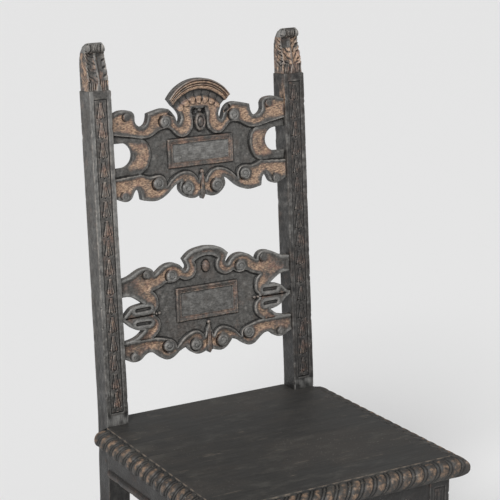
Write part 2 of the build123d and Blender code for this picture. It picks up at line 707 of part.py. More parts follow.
with BuildPart() as finial:
    with BuildSketch(finial_side):
        with BuildLine():
            Line((finial_back_line[-1][0], 0), finial_front_line[0])
            Spline(*finial_front_line)
            Line(finial_front_line[-1], finial_back_line[0])
            Spline(*finial_back_line)
            Line(finial_back_line[-1], (finial_back_line[-1][0], 0))
        make_face()
        with Locations((-finial_roll_setback, roll_height)):
            Circle(finial_roll_radius)
    extrude(amount=-post_width + 2 * finial_step)
    with BuildSketch(finial_front.offset(finial_roll_radius)):
        with BuildLine():
            smooth(finial_edge)
            for left, right in (paired(finial_edge[:1]), paired(finial_edge[-1:])):
                Line(left, right)
        make_face()
    extrude(amount=-post_depth - 2 * finial_roll_radius, mode=Mode.INTERSECT)

# ---- Back posts: leg, raked post and finial from one timber
top_front = back.from_local_coords((0, post_height, 0))
top_rear = back.from_local_coords((0, post_height, -post_depth))
bend = seat_height + bend_rise
bend_rear = bend - post_depth * tan(rake / 2)

with BuildPart() as rear_post_left:
    with BuildSketch(Plane.YZ.offset(-post_outer)) as post_side:
        with BuildLine():
            Polyline(
                (kicked_front(0), 0),
                (post_front, kick_height),
                (post_front, bend),
                (top_front.Y, top_front.Z),
                (top_rear.Y, top_rear.Z),
                (post_rear, bend_rear),
                (post_rear, kick_height),
                (kicked_front(0) + post_depth, 0),
                close=True,
            )
        make_face()
        fillet(post_side.vertices().sort_by(Axis.Y)[2:-2], bend_radius)
    extrude(amount=post_width)
    chamfer(rear_post_left.edges().group_by(Axis.Z)[-3:], shoulder_chamfer)
    with BuildSketch(back):
        with Locations((-post_centre, (post_panel_base + post_height - post_panel_margin) / 2)):
            Rectangle(post_panel_width, post_height - post_panel_margin - post_panel_base)
    extrude(amount=-panel_sink, mode=Mode.SUBTRACT)
    add(finial.part)
    add(mortises.part, mode=Mode.SUBTRACT)
    add(peg_space.part, mode=Mode.SUBTRACT)

with BuildPart() as rear_post_right:
    add(mirror(rear_post_left.part, about=Plane.YZ, mode=Mode.PRIVATE))

# ---- Front legs: square, with a sunk panel in front and a small spreading foot
with BuildPart() as front_leg_left:
    with Locations((-leg_centre, leg_face + leg_width / 2, 0)):
        Box(leg_width, leg_width, seat_underside, align=(Align.CENTER, Align.CENTER, Align.MIN))
        Box(leg_width + 2 * foot_flare, leg_width + 2 * foot_flare, foot_height,
            align=(Align.CENTER, Align.CENTER, Align.MIN))
    foot_rim = front_leg_left.faces().filter_by(Plane.XY).sort_by(Axis.Z)[1].outer_wire()
    chamfer(foot_rim.edges(), foot_chamfer)
    with BuildSketch(Plane.XZ.offset(-leg_face)):
        with Locations((-leg_centre, (leg_panel_base + seat_underside - leg_panel_top) / 2)):
            Rectangle(leg_panel_width, seat_underside - leg_panel_top - leg_panel_base)
    extrude(amount=-panel_sink, mode=Mode.SUBTRACT)
    add(mortises.part, mode=Mode.SUBTRACT)
    add(peg_space.part, mode=Mode.SUBTRACT)

with BuildPart() as front_leg_right:
    add(mirror(front_leg_left.part, about=Plane.YZ, mode=Mode.PRIVATE))

# ---- Pegs
with BuildPart() as crest_rail_pegs:
    pins(crest_peg_places, peg_radius, peg_length)

with BuildPart() as lower_back_rail_pegs:
    pins(lower_peg_places, peg_radius, peg_length)

with BuildPart() as front_seat_rail_pegs:
    pins(front_rail_peg_places, peg_radius, long_peg_length)

with BuildPart() as rear_seat_rail_pegs:
    pins(rear_rail_peg_places, peg_radius, peg_length)

with BuildPart() as side_seat_rail_pegs:
    pins(side_rail_peg_places, peg_radius, peg_length)

with BuildPart() as front_stretcher_pegs:
    pins(front_stretcher_peg_places, peg_radius, peg_length)

with BuildPart() as rear_stretcher_pegs:
    pins(rear_stretcher_peg_places, peg_radius, peg_length)

with BuildPart() as side_stretcher_pegs:
    pins(side_stretcher_peg_places, peg_radius, peg_length)

# ---- Every piece in its own file
pieces = {
    "rear_post_left": rear_post_left,
    "rear_post_right": rear_post_right,
    "front_leg_left": front_leg_left,
    "front_leg_right": front_leg_right,
    "crest_rail": crest_rail,
    "lower_back_rail": lower_back_rail,
    "seat_board": seat_board,
    "seat_nails": seat_nails,
    "front_seat_rail": front_seat_rail,
    "rear_seat_rail": rear_seat_rail,
    "side_seat_rail_left": side_seat_rail_left,
    "side_seat_rail_right": side_seat_rail_right,
    "front_stretcher": front_stretcher,
    "rear_stretcher": rear_stretcher,
    "side_stretcher_left": side_stretcher_left,
    "side_stretcher_right": side_stretcher_right,
    "crest_rail_pegs": crest_rail_pegs,
    "lower_back_rail_pegs": lower_back_rail_pegs,
    "front_seat_rail_pegs": front_seat_rail_pegs,
    "rear_seat_rail_pegs": rear_seat_rail_pegs,
    "side_seat_rail_pegs": side_seat_rail_pegs,
    "front_stretcher_pegs": front_stretcher_pegs,
    "rear_stretcher_pegs": rear_stretcher_pegs,
    "side_stretcher_pegs": side_stretcher_pegs,
}

os.makedirs("parts", exist_ok=True)
for name, piece in pieces.items():
    piece.part.label = name
    export_step(piece.part, f"parts/{name}.step")
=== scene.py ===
"""Carved wainscot chair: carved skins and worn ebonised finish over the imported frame."""
from math import asin, atan2, cos, pi, radians, sin, tan

import bmesh
import bpy
import numpy as np
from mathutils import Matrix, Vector


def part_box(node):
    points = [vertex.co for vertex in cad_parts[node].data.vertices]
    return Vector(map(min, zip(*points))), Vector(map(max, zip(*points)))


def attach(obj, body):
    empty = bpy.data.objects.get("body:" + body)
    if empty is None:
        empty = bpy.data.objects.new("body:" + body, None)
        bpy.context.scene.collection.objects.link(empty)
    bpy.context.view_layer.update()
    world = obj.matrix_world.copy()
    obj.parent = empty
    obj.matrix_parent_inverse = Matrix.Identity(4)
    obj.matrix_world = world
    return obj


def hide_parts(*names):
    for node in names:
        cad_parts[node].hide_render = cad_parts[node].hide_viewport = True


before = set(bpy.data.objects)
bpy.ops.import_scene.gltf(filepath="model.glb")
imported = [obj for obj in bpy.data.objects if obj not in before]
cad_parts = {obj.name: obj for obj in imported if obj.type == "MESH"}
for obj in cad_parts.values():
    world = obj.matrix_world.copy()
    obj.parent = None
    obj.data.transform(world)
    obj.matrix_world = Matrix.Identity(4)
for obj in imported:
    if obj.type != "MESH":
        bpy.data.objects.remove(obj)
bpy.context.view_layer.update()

MM = 0.001

# ---- Sizes read from the frame, in millimetres


def box_mm(node):
    """Lowest and highest corner of a CAD node, in millimetres."""
    low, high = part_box(node)
    return [value / MM for value in low], [value / MM for value in high]


def centre_and_half(node):
    """Centre and half size of a CAD node along each axis, in millimetres."""
    low, high = box_mm(node)
    return [(a + b) / 2 for a, b in zip(low, high)], [(b - a) / 2 for a, b in zip(low, high)]


post_low, post_high = box_mm("rear_post_right")
seat_low, seat_high = box_mm("seat_board")
leg_low, leg_high = box_mm("front_leg_right")
rail_centre, rail_half = centre_and_half("front_seat_rail")

post_inner, post_outer = post_low[0], post_high[0]
post_centre = (post_inner + post_outer) / 2
post_width = post_outer - post_inner
post_front = post_low[1]
seat_height = seat_high[2]
seat_underside = seat_low[2]

# ---- Sizes that the boxes don't give; they are those of the CAD model
post_depth = 38.0
rake = radians(4.35)
bend_rise = 20.0
shoulder_height = 569.5        # along the post, from the seat to the shoulder under the finial
foot_kick = 14.0
kick_height = 330.0
bend_reach = 15.0
foot_flare = 3.5               # spread of a front foot on each side
stretcher_setback = 12.0       # face of the front stretcher behind that of the legs
side_rail_half = 11.0          # half the thickness of a side rail of the seat
side_rail_inset = 0.5          # its outer face inside that of the posts
lower_height = 188.5
crest_height = 451.5
scroll_face = -5.0
ground_face = -10.5
board_back = -20.0
crest_panel = (63.5, 25)       # half width and half height of the framed panel
lower_panel = (61, 30)
crest_span, lower_span = (-84, 124), (-93, 98)     # foot and top of each board
hole_inset, hole_height, hole_radius = 17, 6, 21   # round end of a hole beside the crest panel
slot_ends, slot_heights, slot_half = (114, 138), (3.5, -21), 3.5   # sunk, in the lower rail
hood_rise = 124.0              # top of the hood above the middle of the crest panel
hood_half = 59.5
hood_sag = 32.0
hood_ring = 19.0
hood_end_slant = 9.0
hood_end_drop = 11.0
hood_radius = (hood_half ** 2 + hood_sag ** 2) / (2 * hood_sag)
hood_heel = (hood_half - hood_end_slant, hood_rise - hood_sag - hood_end_drop)
leg_inner = leg_low[0] + foot_flare
leg_back = leg_high[1] - foot_flare

back_origin = np.array([0, post_front - bend_rise * tan(rake), seat_height])
back_across = np.array([1.0, 0, 0])
back_up = np.array([0, sin(rake), cos(rake)])
back_out = np.array([0, -cos(rake), sin(rake)])


# ---- Numbers and curves
NUDGE = 1e-6                   # keeps the centre line on the inner side of a half outline


def ramp(value, low, high):
    """Smooth step from 0 at low to 1 at high."""
    share = np.clip((value - low) / (high - low), 0, 1)
    return share * share * (3 - 2 * share)


def hump(value, half_width):
    """Smooth bump of height 1 at 0 that ends at the half width."""
    return 1 - ramp(np.abs(value), 0, half_width)


def ripple(x, y, size, seed, waves=7):
    """Smooth irregular waves between about -1 and 1, the same every time."""
    draw = np.random.default_rng(seed)
    total = 0
    for _ in range(waves):
        angle, phase = draw.uniform(0, 2 * pi), draw.uniform(0, 2 * pi)
        stretch = draw.uniform(0.6, 1.7)
        turn = (x * cos(angle) + y * sin(angle)) * stretch * 2 * pi / size
        total = total + np.sin(turn + phase)
    return total / waves * 1.6


def run_along(points):
    """Length of a polyline up to each of its points."""
    return np.concatenate([[0], np.cumsum(np.hypot(*np.diff(points, axis=0).T))])


def smooth(points, step=1.2):
    """Natural cubic spline through given points, sampled about every step."""
    knots = np.array(points, float)
    gaps = np.hypot(*np.diff(knots, axis=0).T)
    at = run_along(knots)
    count = len(knots)
    slopes = np.diff(knots, axis=0) / gaps[:, None]
    system, target = np.eye(count), np.zeros((count, 2))
    for i in range(1, count - 1):
        system[i, i - 1:i + 2] = gaps[i - 1], 2 * (gaps[i - 1] + gaps[i]), gaps[i]
        target[i] = 6 * (slopes[i] - slopes[i - 1])
    bend = np.linalg.solve(system, target)
    place = np.linspace(0, at[-1], max(3, int(at[-1] / step) + 1))
    i = np.clip(np.searchsorted(at, place, side="right") - 1, 0, count - 2)
    gap = gaps[i][:, None]
    before, after = (at[i + 1] - place)[:, None], (place - at[i])[:, None]
    return ((bend[i] * before ** 3 + bend[i + 1] * after ** 3) / (6 * gap)
            + (knots[i] / gap - bend[i] * gap / 6) * before
            + (knots[i + 1] / gap - bend[i + 1] * gap / 6) * after)


def volute(x, y, start_radius, start, end_radius, sweep):
    """Spiral line round an eye; angles in degrees, counted anticlockwise."""
    count = int(abs(sweep) / 8) + 2
    share = np.linspace(0, 1, count)
    angle = np.radians(start + sweep * share)
    radius = start_radius + (end_radius - start_radius) * share ** 0.8
    return np.stack([x + radius * np.cos(angle), y + radius * np.sin(angle)], 1)


def distance(x, y, line, reach=1e9):
    """Distance of each place to a polyline; places beyond reach are only far."""
    best = np.full(x.shape, float(reach))
    low, high = line.min(0) - reach, line.max(0) + reach
    near = (x > low[0]) & (x < high[0]) & (y > low[1]) & (y < high[1])
    px, py = x[near], y[near]
    nearest = np.full(px.shape, 1e9)
    for start, way in zip(line[:-1], np.diff(line, axis=0)):
        long = way @ way
        if long == 0:
            continue
        share = np.clip(((px - start[0]) * way[0] + (py - start[1]) * way[1]) / long, 0, 1)
        square = (px - start[0] - share * way[0]) ** 2 + (py - start[1] - share * way[1]) ** 2
        np.minimum(nearest, square, out=nearest)
    best[near] = np.minimum(np.sqrt(nearest), best[near])
    return best


def inside(x, y, ring):
    """Whether each place lies inside a closed ring."""
    hit = np.zeros(x.shape, bool)
    for (x0, y0), (x1, y1) in zip(ring, np.roll(ring, -1, 0)):
        if y0 != y1:
            hit ^= ((y0 > y) != (y1 > y)) & (x < (x1 - x0) * (y - y0) / (y1 - y0) + x0)
    return hit


def signed(x, y, line):
    """Distance to a half outline, positive inside; it is closed along the centre line."""
    away = distance(x, y, line)
    return np.where(inside(x + NUDGE, y, line), away, -away)


def blurred(field, passes):
    """Field averaged with its neighbours, several times."""
    for _ in range(passes):
        for axis in (0, 1):
            pad = np.concatenate([field.take([0], axis), field, field.take([-1], axis)], axis)
            count = field.shape[axis]
            field = sum(pad.take(range(k, k + count), axis) for k in range(3)) / 3
    return field


# ---- Meshes
def add_piece(name, verts, faces, material, nodes, slot="ebonised_wood", sharp=55, **fields):
    """A mesh in millimetres becomes a piece of the chair that stands for the given CAD nodes."""
    mesh = bpy.data.meshes.new(name)
    mesh.from_pydata((np.asarray(verts) * MM).tolist(), [], [list(map(int, f)) for f in faces])
    for field, values in fields.items():
        layer = mesh.attributes.new(field, "FLOAT", "POINT")
        layer.data.foreach_set("value", np.asarray(values, np.float32))
    mesh.polygons.foreach_set("use_smooth", [True] * len(mesh.polygons))
    mesh.set_sharp_from_angle(angle=radians(sharp))
    mesh.materials.append(material)
    mesh.validate()
    piece = bpy.data.objects.new(name, mesh)
    bpy.context.scene.collection.objects.link(piece)
    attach(piece, "root")
    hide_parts(*nodes)


def close_back(verts, faces, ring_pairs):
    """Fill a flat region whose rim is given as directed pairs of vertices."""
    work = bmesh.new()
    made = {}
    for pair in ring_pairs:
        for index in pair:
            if index not in made:
                made[index] = work.verts.new(verts[index])
    edges = [work.edges.new((made[a], made[b])) for a, b in ring_pairs]
    bmesh.ops.triangle_fill(work, use_beauty=True, use_dissolve=False, edges=edges)
    back = {vert: index for index, vert in made.items()}
    wanted = set(ring_pairs)
    filled = [[back[vert] for vert in face.verts] for face in work.faces]
    flip = 0
    for face in filled:
        for a, b in zip(face, face[1:] + face[:1]):
            flip += ((b, a) in wanted) - ((a, b) in wanted)
    work.free()
    faces.extend([face if flip > 0 else face[::-1] for face in filled])


CELL = 0.8                     # grid of a carved board
LIP = 0.8                      # a cut edge goes straight back this far before its long wall
BEVEL = 1.2                    # height of the small bevel along the back


def cut_eyes(x, y, height, worn, free, eyes):
    """Discs that end the scrolls: a crescent is cut beside each, and a spiral line on it."""
    for side in (-1, 1):
        for eye_x, eye_y, radius, sweep, depth in eyes:
            east, north = x - side * eye_x, y - eye_y
            away = np.hypot(east, north)
            crescent = ramp(np.cos(np.arctan2(north, east) - CRESCENT), -0.3, 0.7)
            room = ramp(free, -1.8, 0.6)
            fill = 0.85 * (1 - crescent) * ramp(away, radius + 6, radius) * room * depth
            height, worn = blend(height, worn, fill, scroll_face - 0.2, -0.1)
            height = height - 3.2 * depth * crescent * hump(away - radius - 1.2, 2.8) * room
            line = volute(side * eye_x, eye_y, radius * 0.98, 190, radius * 0.3, side * sweep)
            dome = scroll_face - 0.2 + 1.2 * (1 - (away / radius) ** 2)
            dome = dome - 1.3 * depth * hump(distance(x, y, line, 4), 1.7)
            share = depth * (1 - ramp(away, radius - 1.2, radius + 0.4))
            height, worn = blend(height, worn, share, dome, -0.6)
    return height, worn


def cell_corners(grid):
    """Values at the four corners of each cell of a grid, in order round it."""
    return grid[:-1, :-1], grid[:-1, 1:], grid[1:, 1:], grid[1:, :-1]


def carved_board(name, material, node, place, half_width, low, high, shape, eyes, seed):
    """A pierced board with a carved face.

    shape(x, y) gives, for the right half, the distance inside the outline, the height of the
    carved face, how worn it is and how far a place is from the rims of its band.
    place(x, y, z) puts a point of the board into the chair.
    """
    columns = int(round((half_width + CELL) / CELL)) + 2
    across = np.arange(columns) * CELL
    up = np.arange(low - CELL, high + 2 * CELL, CELL)
    x, y = np.meshgrid(across, up)
    hand_x = x + 0.35 * ripple(x, y, 38, seed) * ramp(x, 0, 12)
    hand_y = y + 0.35 * ripple(x, y, 41, seed + 1)
    edge, height, worn, free = shape(hand_x, hand_y)
    edge = np.minimum(edge, half_width - x)

    def both(half):
        return np.concatenate([half[:, :0:-1], half], 1)

    edge, height, worn, free, y = (both(half) for half in (edge, height, worn, free, y))
    x = np.concatenate([-x[:, :0:-1], x], 1)
    height, worn = cut_eyes(x, y, height, worn, free, eyes)
    height = round_over(height, edge)
    height = height + 0.2 * ripple(x, y, 13, seed + 2) + 0.14 * ripple(x, y, 5, seed + 3)
    # Painted light: raised edges are painted lighter as a highlight, and hollows and sunk ground
    # darker as shade
    near = height - blurred(height, 4)
    wide = height - blurred(height, 40)
    proud = np.where(near > 0, 0.34 * near, 0.8 * near) + 0.16 * np.minimum(wide, 0)
    proud = np.clip(proud, -1, 1)

    solid = edge > 0
    index = np.full(edge.shape, -1)
    index[solid] = np.arange(solid.sum())
    everything = np.stack([x, y, height, worn, proud], 2)
    points = everything[solid].tolist()

    full = np.logical_and.reduce(cell_corners(solid))
    faces = np.stack([corner[full] for corner in cell_corners(index)], 1).tolist()

    crossings = {}

    def crossing(a, b):
        """The vertex where the outline crosses a grid line."""
        key = (min(a, b), max(a, b))
        if key not in crossings:
            share = min(max(edge[a] / (edge[a] - edge[b]), 0.1), 0.9)
            crossings[key] = len(points)
            points.append((everything[a] * (1 - share) + everything[b] * share).tolist())
        return crossings[key]

    some = np.logical_or.reduce(cell_corners(solid))
    rim = []
    for row, column in zip(*np.nonzero(some & ~full)):
        corners = [(row, column), (row, column + 1), (row + 1, column + 1), (row + 1, column)]
        ring, cuts = [], []
        for a, b in zip(corners, corners[1:] + corners[:1]):
            if solid[a]:
                ring.append(index[a])
            if solid[a] != solid[b]:
                vertex = crossing(a, b)
                ring.append(vertex)
                cuts.append((vertex, bool(solid[a])))
        faces.append(ring)
        for (first, out), (second, _) in zip(cuts, cuts[1:] + cuts[:1]):
            if out:
                rim.append((first, second))

    points = np.array(points)
    following = dict(rim)
    before = {b: a for a, b in rim}
    ring_list = list(following)
    ways = np.array([points[following[v]][:2] - points[before[v]][:2] for v in ring_list])
    ways /= np.maximum(np.hypot(*ways.T), 1e-9)[:, None]
    inward = np.stack([-ways[:, 1], ways[:, 0]], 1)
    contour = points[ring_list]
    # The cut edge gets painted shade where it looks sideways or down and a painted highlight where
    # it looks up
    contour[:, 3] = 0.0
    contour[:, 4] = np.interp(-inward[:, 1], [0.3, 0.85], [-0.6, 0.3])
    under, middle, last = contour.copy(), contour.copy(), contour.copy()
    under[:, 2] -= LIP
    middle[:, 2] = board_back + BEVEL
    last[:, :2] += 0.9 * inward
    last[:, 2] = board_back
    last[:, 3:] = -0.15, 0
    start = len(points)
    count = len(ring_list)
    points = np.concatenate([points, under, middle, last])
    order = {v: k for k, v in enumerate(ring_list)}
    pairs = []
    for v in ring_list:
        w = following[v]
        i, j = order[v], order[w]
        faces.append([w, v, start + i, start + j])
        for ring in (start, start + count):
            faces.append([ring + j, ring + i, ring + count + i, ring + count + j])
        pairs.append((start + 2 * count + i, start + 2 * count + j))
    close_back(points[:, :3], faces, pairs)
    add_piece(name, place(points[:, 0], points[:, 1], points[:, 2]), faces, material,
              [node], wear=points[:, 3], proud=points[:, 4])


def on_back(middle):
    """Places of a rail of the back, from across, up and out to the chair."""
    return lambda x, y, z: (back_origin + np.outer(x, back_across)
                            + np.outer(y + middle, back_up) + np.outer(z, back_out))


def fractions(size, step, radius):
    """Places along one face of a squared timber, from -1 up to but not including 1."""
    fine = np.array([0, 0.35, 0.7, 1.0]) * radius * 1.3 / (size / 2)
    inner = np.linspace(-1 + fine[-1], 1 - fine[-1], max(3, int(size / step)))
    return np.concatenate([-1 + fine[:-1], inner, 1 - fine[:-1][::-1]])[:-1]


def timber(stations, half_widths, half_depths, steps, radius, carve):
    """Skin of a squared timber: stations are (centre, across, out), steps is (front, sides).

    carve(face, x, y) gives how far the surface moves out, how worn it is and its painted light and
    rub: painted shade where it lies low or in shade, painted highlight and wear by rubbing where it
    stands out.
    """
    centre, across, out = (np.array(part, float) for part in zip(*stations))
    half_widths = np.broadcast_to(half_widths, len(centre)).astype(float)[:, None]
    half_depths = np.broadcast_to(half_depths, len(centre)).astype(float)[:, None]
    front = fractions(2 * half_widths.max(), steps[0], radius)
    side = fractions(2 * half_depths.max(), steps[1], radius)
    rear = fractions(2 * half_widths.max(), max(steps[0], 4), radius)
    a = np.concatenate([front, np.ones(len(side)), -rear, -np.ones(len(side))])
    b = np.concatenate([np.ones(len(front)), -side, -np.ones(len(rear)), side])
    face = np.repeat([0, 1, 2, 3], [len(front), len(side), len(rear), len(side)])
    x, y = a * half_widths, b * half_depths
    kept_x = np.clip(x, radius - half_widths, half_widths - radius)
    kept_y = np.clip(y, radius - half_depths, half_depths - radius)
    out_x, out_y = x - kept_x, y - kept_y
    size = np.maximum(np.hypot(out_x, out_y), 1e-9)
    out_x, out_y = out_x / size, out_y / size
    x, y = kept_x + radius * out_x, kept_y + radius * out_y
    depth, worn, proud = carve(face[None, :], x, y)
    corner = np.maximum(half_widths - np.abs(x) + 0 * y, half_depths - np.abs(y))
    # Corners are lighter: wear by rubbing and a painted highlight along the edges
    proud = proud + 0.5 * (1 - ramp(corner, 0.6, 2.6))
    x, y = x + depth * out_x, y + depth * out_y
    verts = (centre[:, None, :] + x[..., None] * across[:, None, :]
             + y[..., None] * out[:, None, :])
    rows, ring = x.shape
    here = np.arange(rows * ring).reshape(rows, ring)
    lower, upper = here[:-1], here[1:]
    faces = np.stack([lower, upper, np.roll(upper, -1, 1), np.roll(lower, -1, 1)], 2)
    faces = faces.reshape(-1, 4).tolist()
    faces.append(here[0].tolist())
    faces.append(here[-1][::-1].tolist())
    flat = [value.reshape(-1) * np.ones(rows * ring) for value in (worn + 0 * x, proud + 0 * x)]
    return verts.reshape(-1, 3), faces, flat[0], np.clip(flat[1], -1, 1)


def joined(*parts):
    """Several closed skins as one mesh."""
    faces, start = [], 0
    for part in parts:
        faces.extend([[index + start for index in face] for face in part[1]])
        start += len(part[0])
    verts, worn, proud = (np.concatenate([part[k] for part in parts]) for k in (0, 2, 3))
    return verts, faces, worn, proud


def add_timber(name, skin, material):
    """The skin of a squared timber becomes the piece that stands for the node of that name."""
    verts, faces, worn, proud = skin
    add_piece(name + "_timber", verts, faces, material, [name], wear=worn, proud=proud)


# ---- Finishes
def tone(red, green, blue):
    """A screen colour, 0 to 255, as linear light."""
    made = [value / 255 for value in (red, green, blue)]
    return [value / 12.92 if value <= 0.04045 else ((value + 0.055) / 1.055) ** 2.4
            for value in made] + [1]


EVEN = (1, 1, 1)               # noise that isn't stretched along a grain


class Finish:
    """Small helper that builds one node material."""

    def __init__(self, name):
        self.material = bpy.data.materials.new(name)
        self.material.use_nodes = True
        self.tree = self.material.node_tree
        self.shader = self.tree.nodes["Principled BSDF"]
        self.place = self.add("TexCoord").outputs["Object"]

    def add(self, kind, **values):
        node = self.tree.nodes.new("ShaderNode" + kind)
        for key, value in values.items():
            setattr(node, key, value)
        return node

    def link(self, source, target):
        self.tree.links.new(source, target)

    def feed(self, sockets, values):
        """Give each socket its number or colour, or link it to where its value comes from."""
        for socket, value in zip(sockets, values):
            if isinstance(value, (int, float, list)):
                socket.default_value = value
            else:
                self.link(value, socket)

    def attribute(self, name):
        return self.add("Attribute", attribute_name=name).outputs["Fac"]

    def noise(self, size, stretch, detail, rough, offset=0.0):
        """Noise whose patches are about size millimetres across, longer along a stretch."""
        mapping = self.add("Mapping")
        mapping.inputs["Scale"].default_value = [1000 / size / s for s in stretch]
        mapping.inputs["Location"].default_value = (offset, offset, offset)
        self.link(self.place, mapping.inputs["Vector"])
        node = self.add("TexNoise")
        self.feed([node.inputs[key] for key in ("Scale", "Detail", "Roughness", "Vector")],
                  (1, detail, rough, mapping.outputs["Vector"]))
        return node.outputs["Fac"]

    def range(self, value, low, high, start=0.0, end=1.0):
        node = self.add("MapRange", interpolation_type="SMOOTHSTEP")
        self.feed(node.inputs[:5], (value, low, high, start, end))
        return node.outputs[0]

    def math(self, operation, first, second):
        node = self.add("Math", operation=operation)
        self.feed(node.inputs, (first, second))
        return node.outputs[0]

    def swing(self, value, amount, middle=0.5):
        """How far a value is from the middle, times the amount."""
        return self.times(self.math("SUBTRACT", value, middle), amount)

    def stirred(self, value, by, amount, middle=0.5):
        """A value with another's swing added."""
        return self.math("ADD", value, self.swing(by, amount, middle))

    def mix(self, share, first, second):
        node = self.add("Mix", data_type="RGBA")
        self.feed((node.inputs[0], node.inputs[6], node.inputs[7]), (share, first, second))
        return node.outputs[2]

    def parted(self, value, low, high, first, second):
        """First colour where the value is below low, second above high."""
        return self.mix(self.range(value, low, high), first, second)

    def over(self, under, value, low, high, share, colour):
        """Lay a colour over another, by up to the share, as the value goes from low to high."""
        return self.mix(self.range(value, low, high, 0, share), under, colour)

    def times(self, first, second):
        """Product of two values."""
        return self.math("MULTIPLY", first, second)

    def finish(self, colour, rough, height, bump, specular=0.5):
        self.link(colour, self.shader.inputs["Base Color"])
        self.link(rough, self.shader.inputs["Roughness"])
        self.shader.inputs["Specular IOR Level"].default_value = specular
        node = self.add("Bump")
        node.inputs["Strength"].default_value = bump
        node.inputs["Distance"].default_value = 0.0008
        self.link(height, node.inputs["Height"])
        self.link(node.outputs["Normal"], self.shader.inputs["Normal"])
        return self.material


def ebonised(name, stretch, dark, light):
    """Blackened timber: bare tan wood where wear is above 0, dry and greyed where it is below."""
    make = Finish(name)
    streak = make.noise(1.3, stretch, 5, 0.65)
    cloud = make.noise(34, EVEN, 4, 0.6, 3.0)
    patch = make.noise(24, EVEN, 4, 0.62, 7.0)
    hue = make.noise(9, EVEN, 3, 0.6, 17.0)
    fleck = make.noise(4.5, EVEN, 4, 0.6, 13.0)
    speck = make.noise(2.2, EVEN, 2, 0.5, 11.0)
    wear, proud = make.attribute("wear"), make.attribute("proud")
    base = make.parted(fleck, 0.3, 0.7, dark, light)
    base = make.over(base, streak, 0.35, 0.7, 0.35, light)
    base = make.over(base, cloud, 0.5, 0.78, 0.45, tone(86, 75, 68))
    base = make.over(base, patch, 0.38, 0.24, 0.5, tone(34, 33, 32))
    dry = make.math("SUBTRACT", make.swing(hue, 1.6), wear)
    grey = make.parted(streak, 0.3, 0.7, tone(92, 91, 89), tone(142, 141, 138))
    base = make.over(base, dry, 0.0, 1.0, 0.9, grey)
    grit = make.noise(1.7, [min(s, 3) for s in stretch], 3, 0.6, 21.0)
    tan_wood = make.parted(grit, 0.34, 0.66, tone(108, 84, 68), tone(196, 164, 136))
    reddish = make.parted(fleck, 0.3, 0.7, tone(100, 76, 66), tone(160, 124, 106))
    # Painted highlight and shade: bare wood is paler tan in the middle of a band, where it is most
    # worn, and darker red towards its rims; the hue also varies at random
    hue_and_band_light = make.stirred(hue, wear, 0.4, 0.6)
    bare = make.parted(hue_and_band_light, 0.36, 0.6, reddish, tan_wood)
    worn = make.stirred(make.stirred(wear, patch, 2.4), grit, 0.9)
    colour = make.over(base, worn, 0.0, 1.1, 0.85, bare)
    # Pale grey where the surface stands out: wear by rubbing and a painted highlight
    rub_and_highlight = make.stirred(proud, hue, 1.4)
    colour = make.over(colour, rub_and_highlight, 0.05, 0.9, 0.62, tone(164, 155, 146))
    # Painted shade: near black in hollows, on cut edges that look sideways or down, and on the
    # timbers that lie in shade
    colour = make.over(colour, proud, -0.12, -0.75, 0.9, tone(16, 15, 15))
    chips = make.times(make.range(speck, 0.7, 0.78), make.range(patch, 0.48, 0.6))
    colour = make.mix(make.times(chips, 0.75), colour, tone(206, 198, 186))
    rough = make.range(cloud, 0.3, 0.7, 0.4, 0.56)
    height = make.math("ADD", make.times(streak, 0.5), make.times(fleck, 2.0))
    return make.finish(colour, rough, height, 0.7)


def seat_finish(name):
    """Blackened seat plank, worn even and dull, with faint grain, dust specks and scratches."""
    make = Finish(name)
    streak = make.noise(1.6, (40, 1, 1), 6, 0.7)
    cloud = make.noise(70, (2, 1, 1), 4, 0.6, 2.0)
    patch = make.noise(8, EVEN, 5, 0.64, 7.0)
    speck = make.noise(2.6, EVEN, 2, 0.5, 5.0)
    scratch = make.noise(3.0, (26, 1, 1), 2, 0.4, 9.0)
    smudge = make.noise(26, (2.2, 1, 1), 5, 0.7, 23.0)
    wear, proud = make.attribute("wear"), make.attribute("proud")
    base = make.parted(streak, 0.3, 0.72, tone(34, 33, 32), tone(56, 55, 53))
    base = make.over(base, cloud, 0.42, 0.7, 0.6, tone(60, 56, 52))
    base = make.over(base, smudge, 0.5, 0.74, 0.5, tone(80, 78, 73))
    tan_wood = make.parted(patch, 0.35, 0.65, tone(84, 68, 57), tone(150, 122, 98))
    worn = make.stirred(wear, patch, 2.2)
    colour = make.over(base, worn, 0.3, 1.15, 0.75, tan_wood)
    # Pale where the carved edge stands out: wear by rubbing and a painted highlight
    rub_and_highlight = make.stirred(proud, patch, 1.4)
    colour = make.over(colour, rub_and_highlight, 0.35, 1.1, 0.5, tone(148, 132, 116))
    # Painted shade: near black in the hollows of the carved edge and where the edge is darkened
    colour = make.over(colour, proud, -0.1, -0.7, 0.88, tone(14, 13, 13))
    chips = make.times(make.range(speck, 0.68, 0.74), make.range(cloud, 0.45, 0.6))
    colour = make.mix(make.times(chips, 0.6), colour, tone(150, 146, 138))
    lines = make.times(make.range(scratch, 0.64, 0.72), make.range(smudge, 0.5, 0.62))
    colour = make.mix(make.times(lines, 0.5), colour, tone(124, 112, 98))
    rough = make.range(cloud, 0.3, 0.7, 0.5, 0.64)
    height = make.math("ADD", make.times(streak, 0.6), make.times(patch, 0.4))
    return make.finish(colour, rough, height, 0.25)


def plain_finish(name, dark, light, metal=0.0):
    """Finish of a small plain piece: two tones and an uneven gloss."""
    make = Finish(name)
    streak = make.noise(1.2, EVEN, 4, 0.6)
    patch = make.noise(3, EVEN, 4, 0.6, 4.0)
    colour = make.parted(streak, 0.3, 0.7, dark, light)
    make.shader.inputs["Metallic"].default_value = metal
    return make.finish(colour, make.range(patch, 0.35, 0.65, 0.45, 0.65), streak, 0.3)


DARK, LIGHT = tone(50, 49, 47), tone(86, 84, 81)
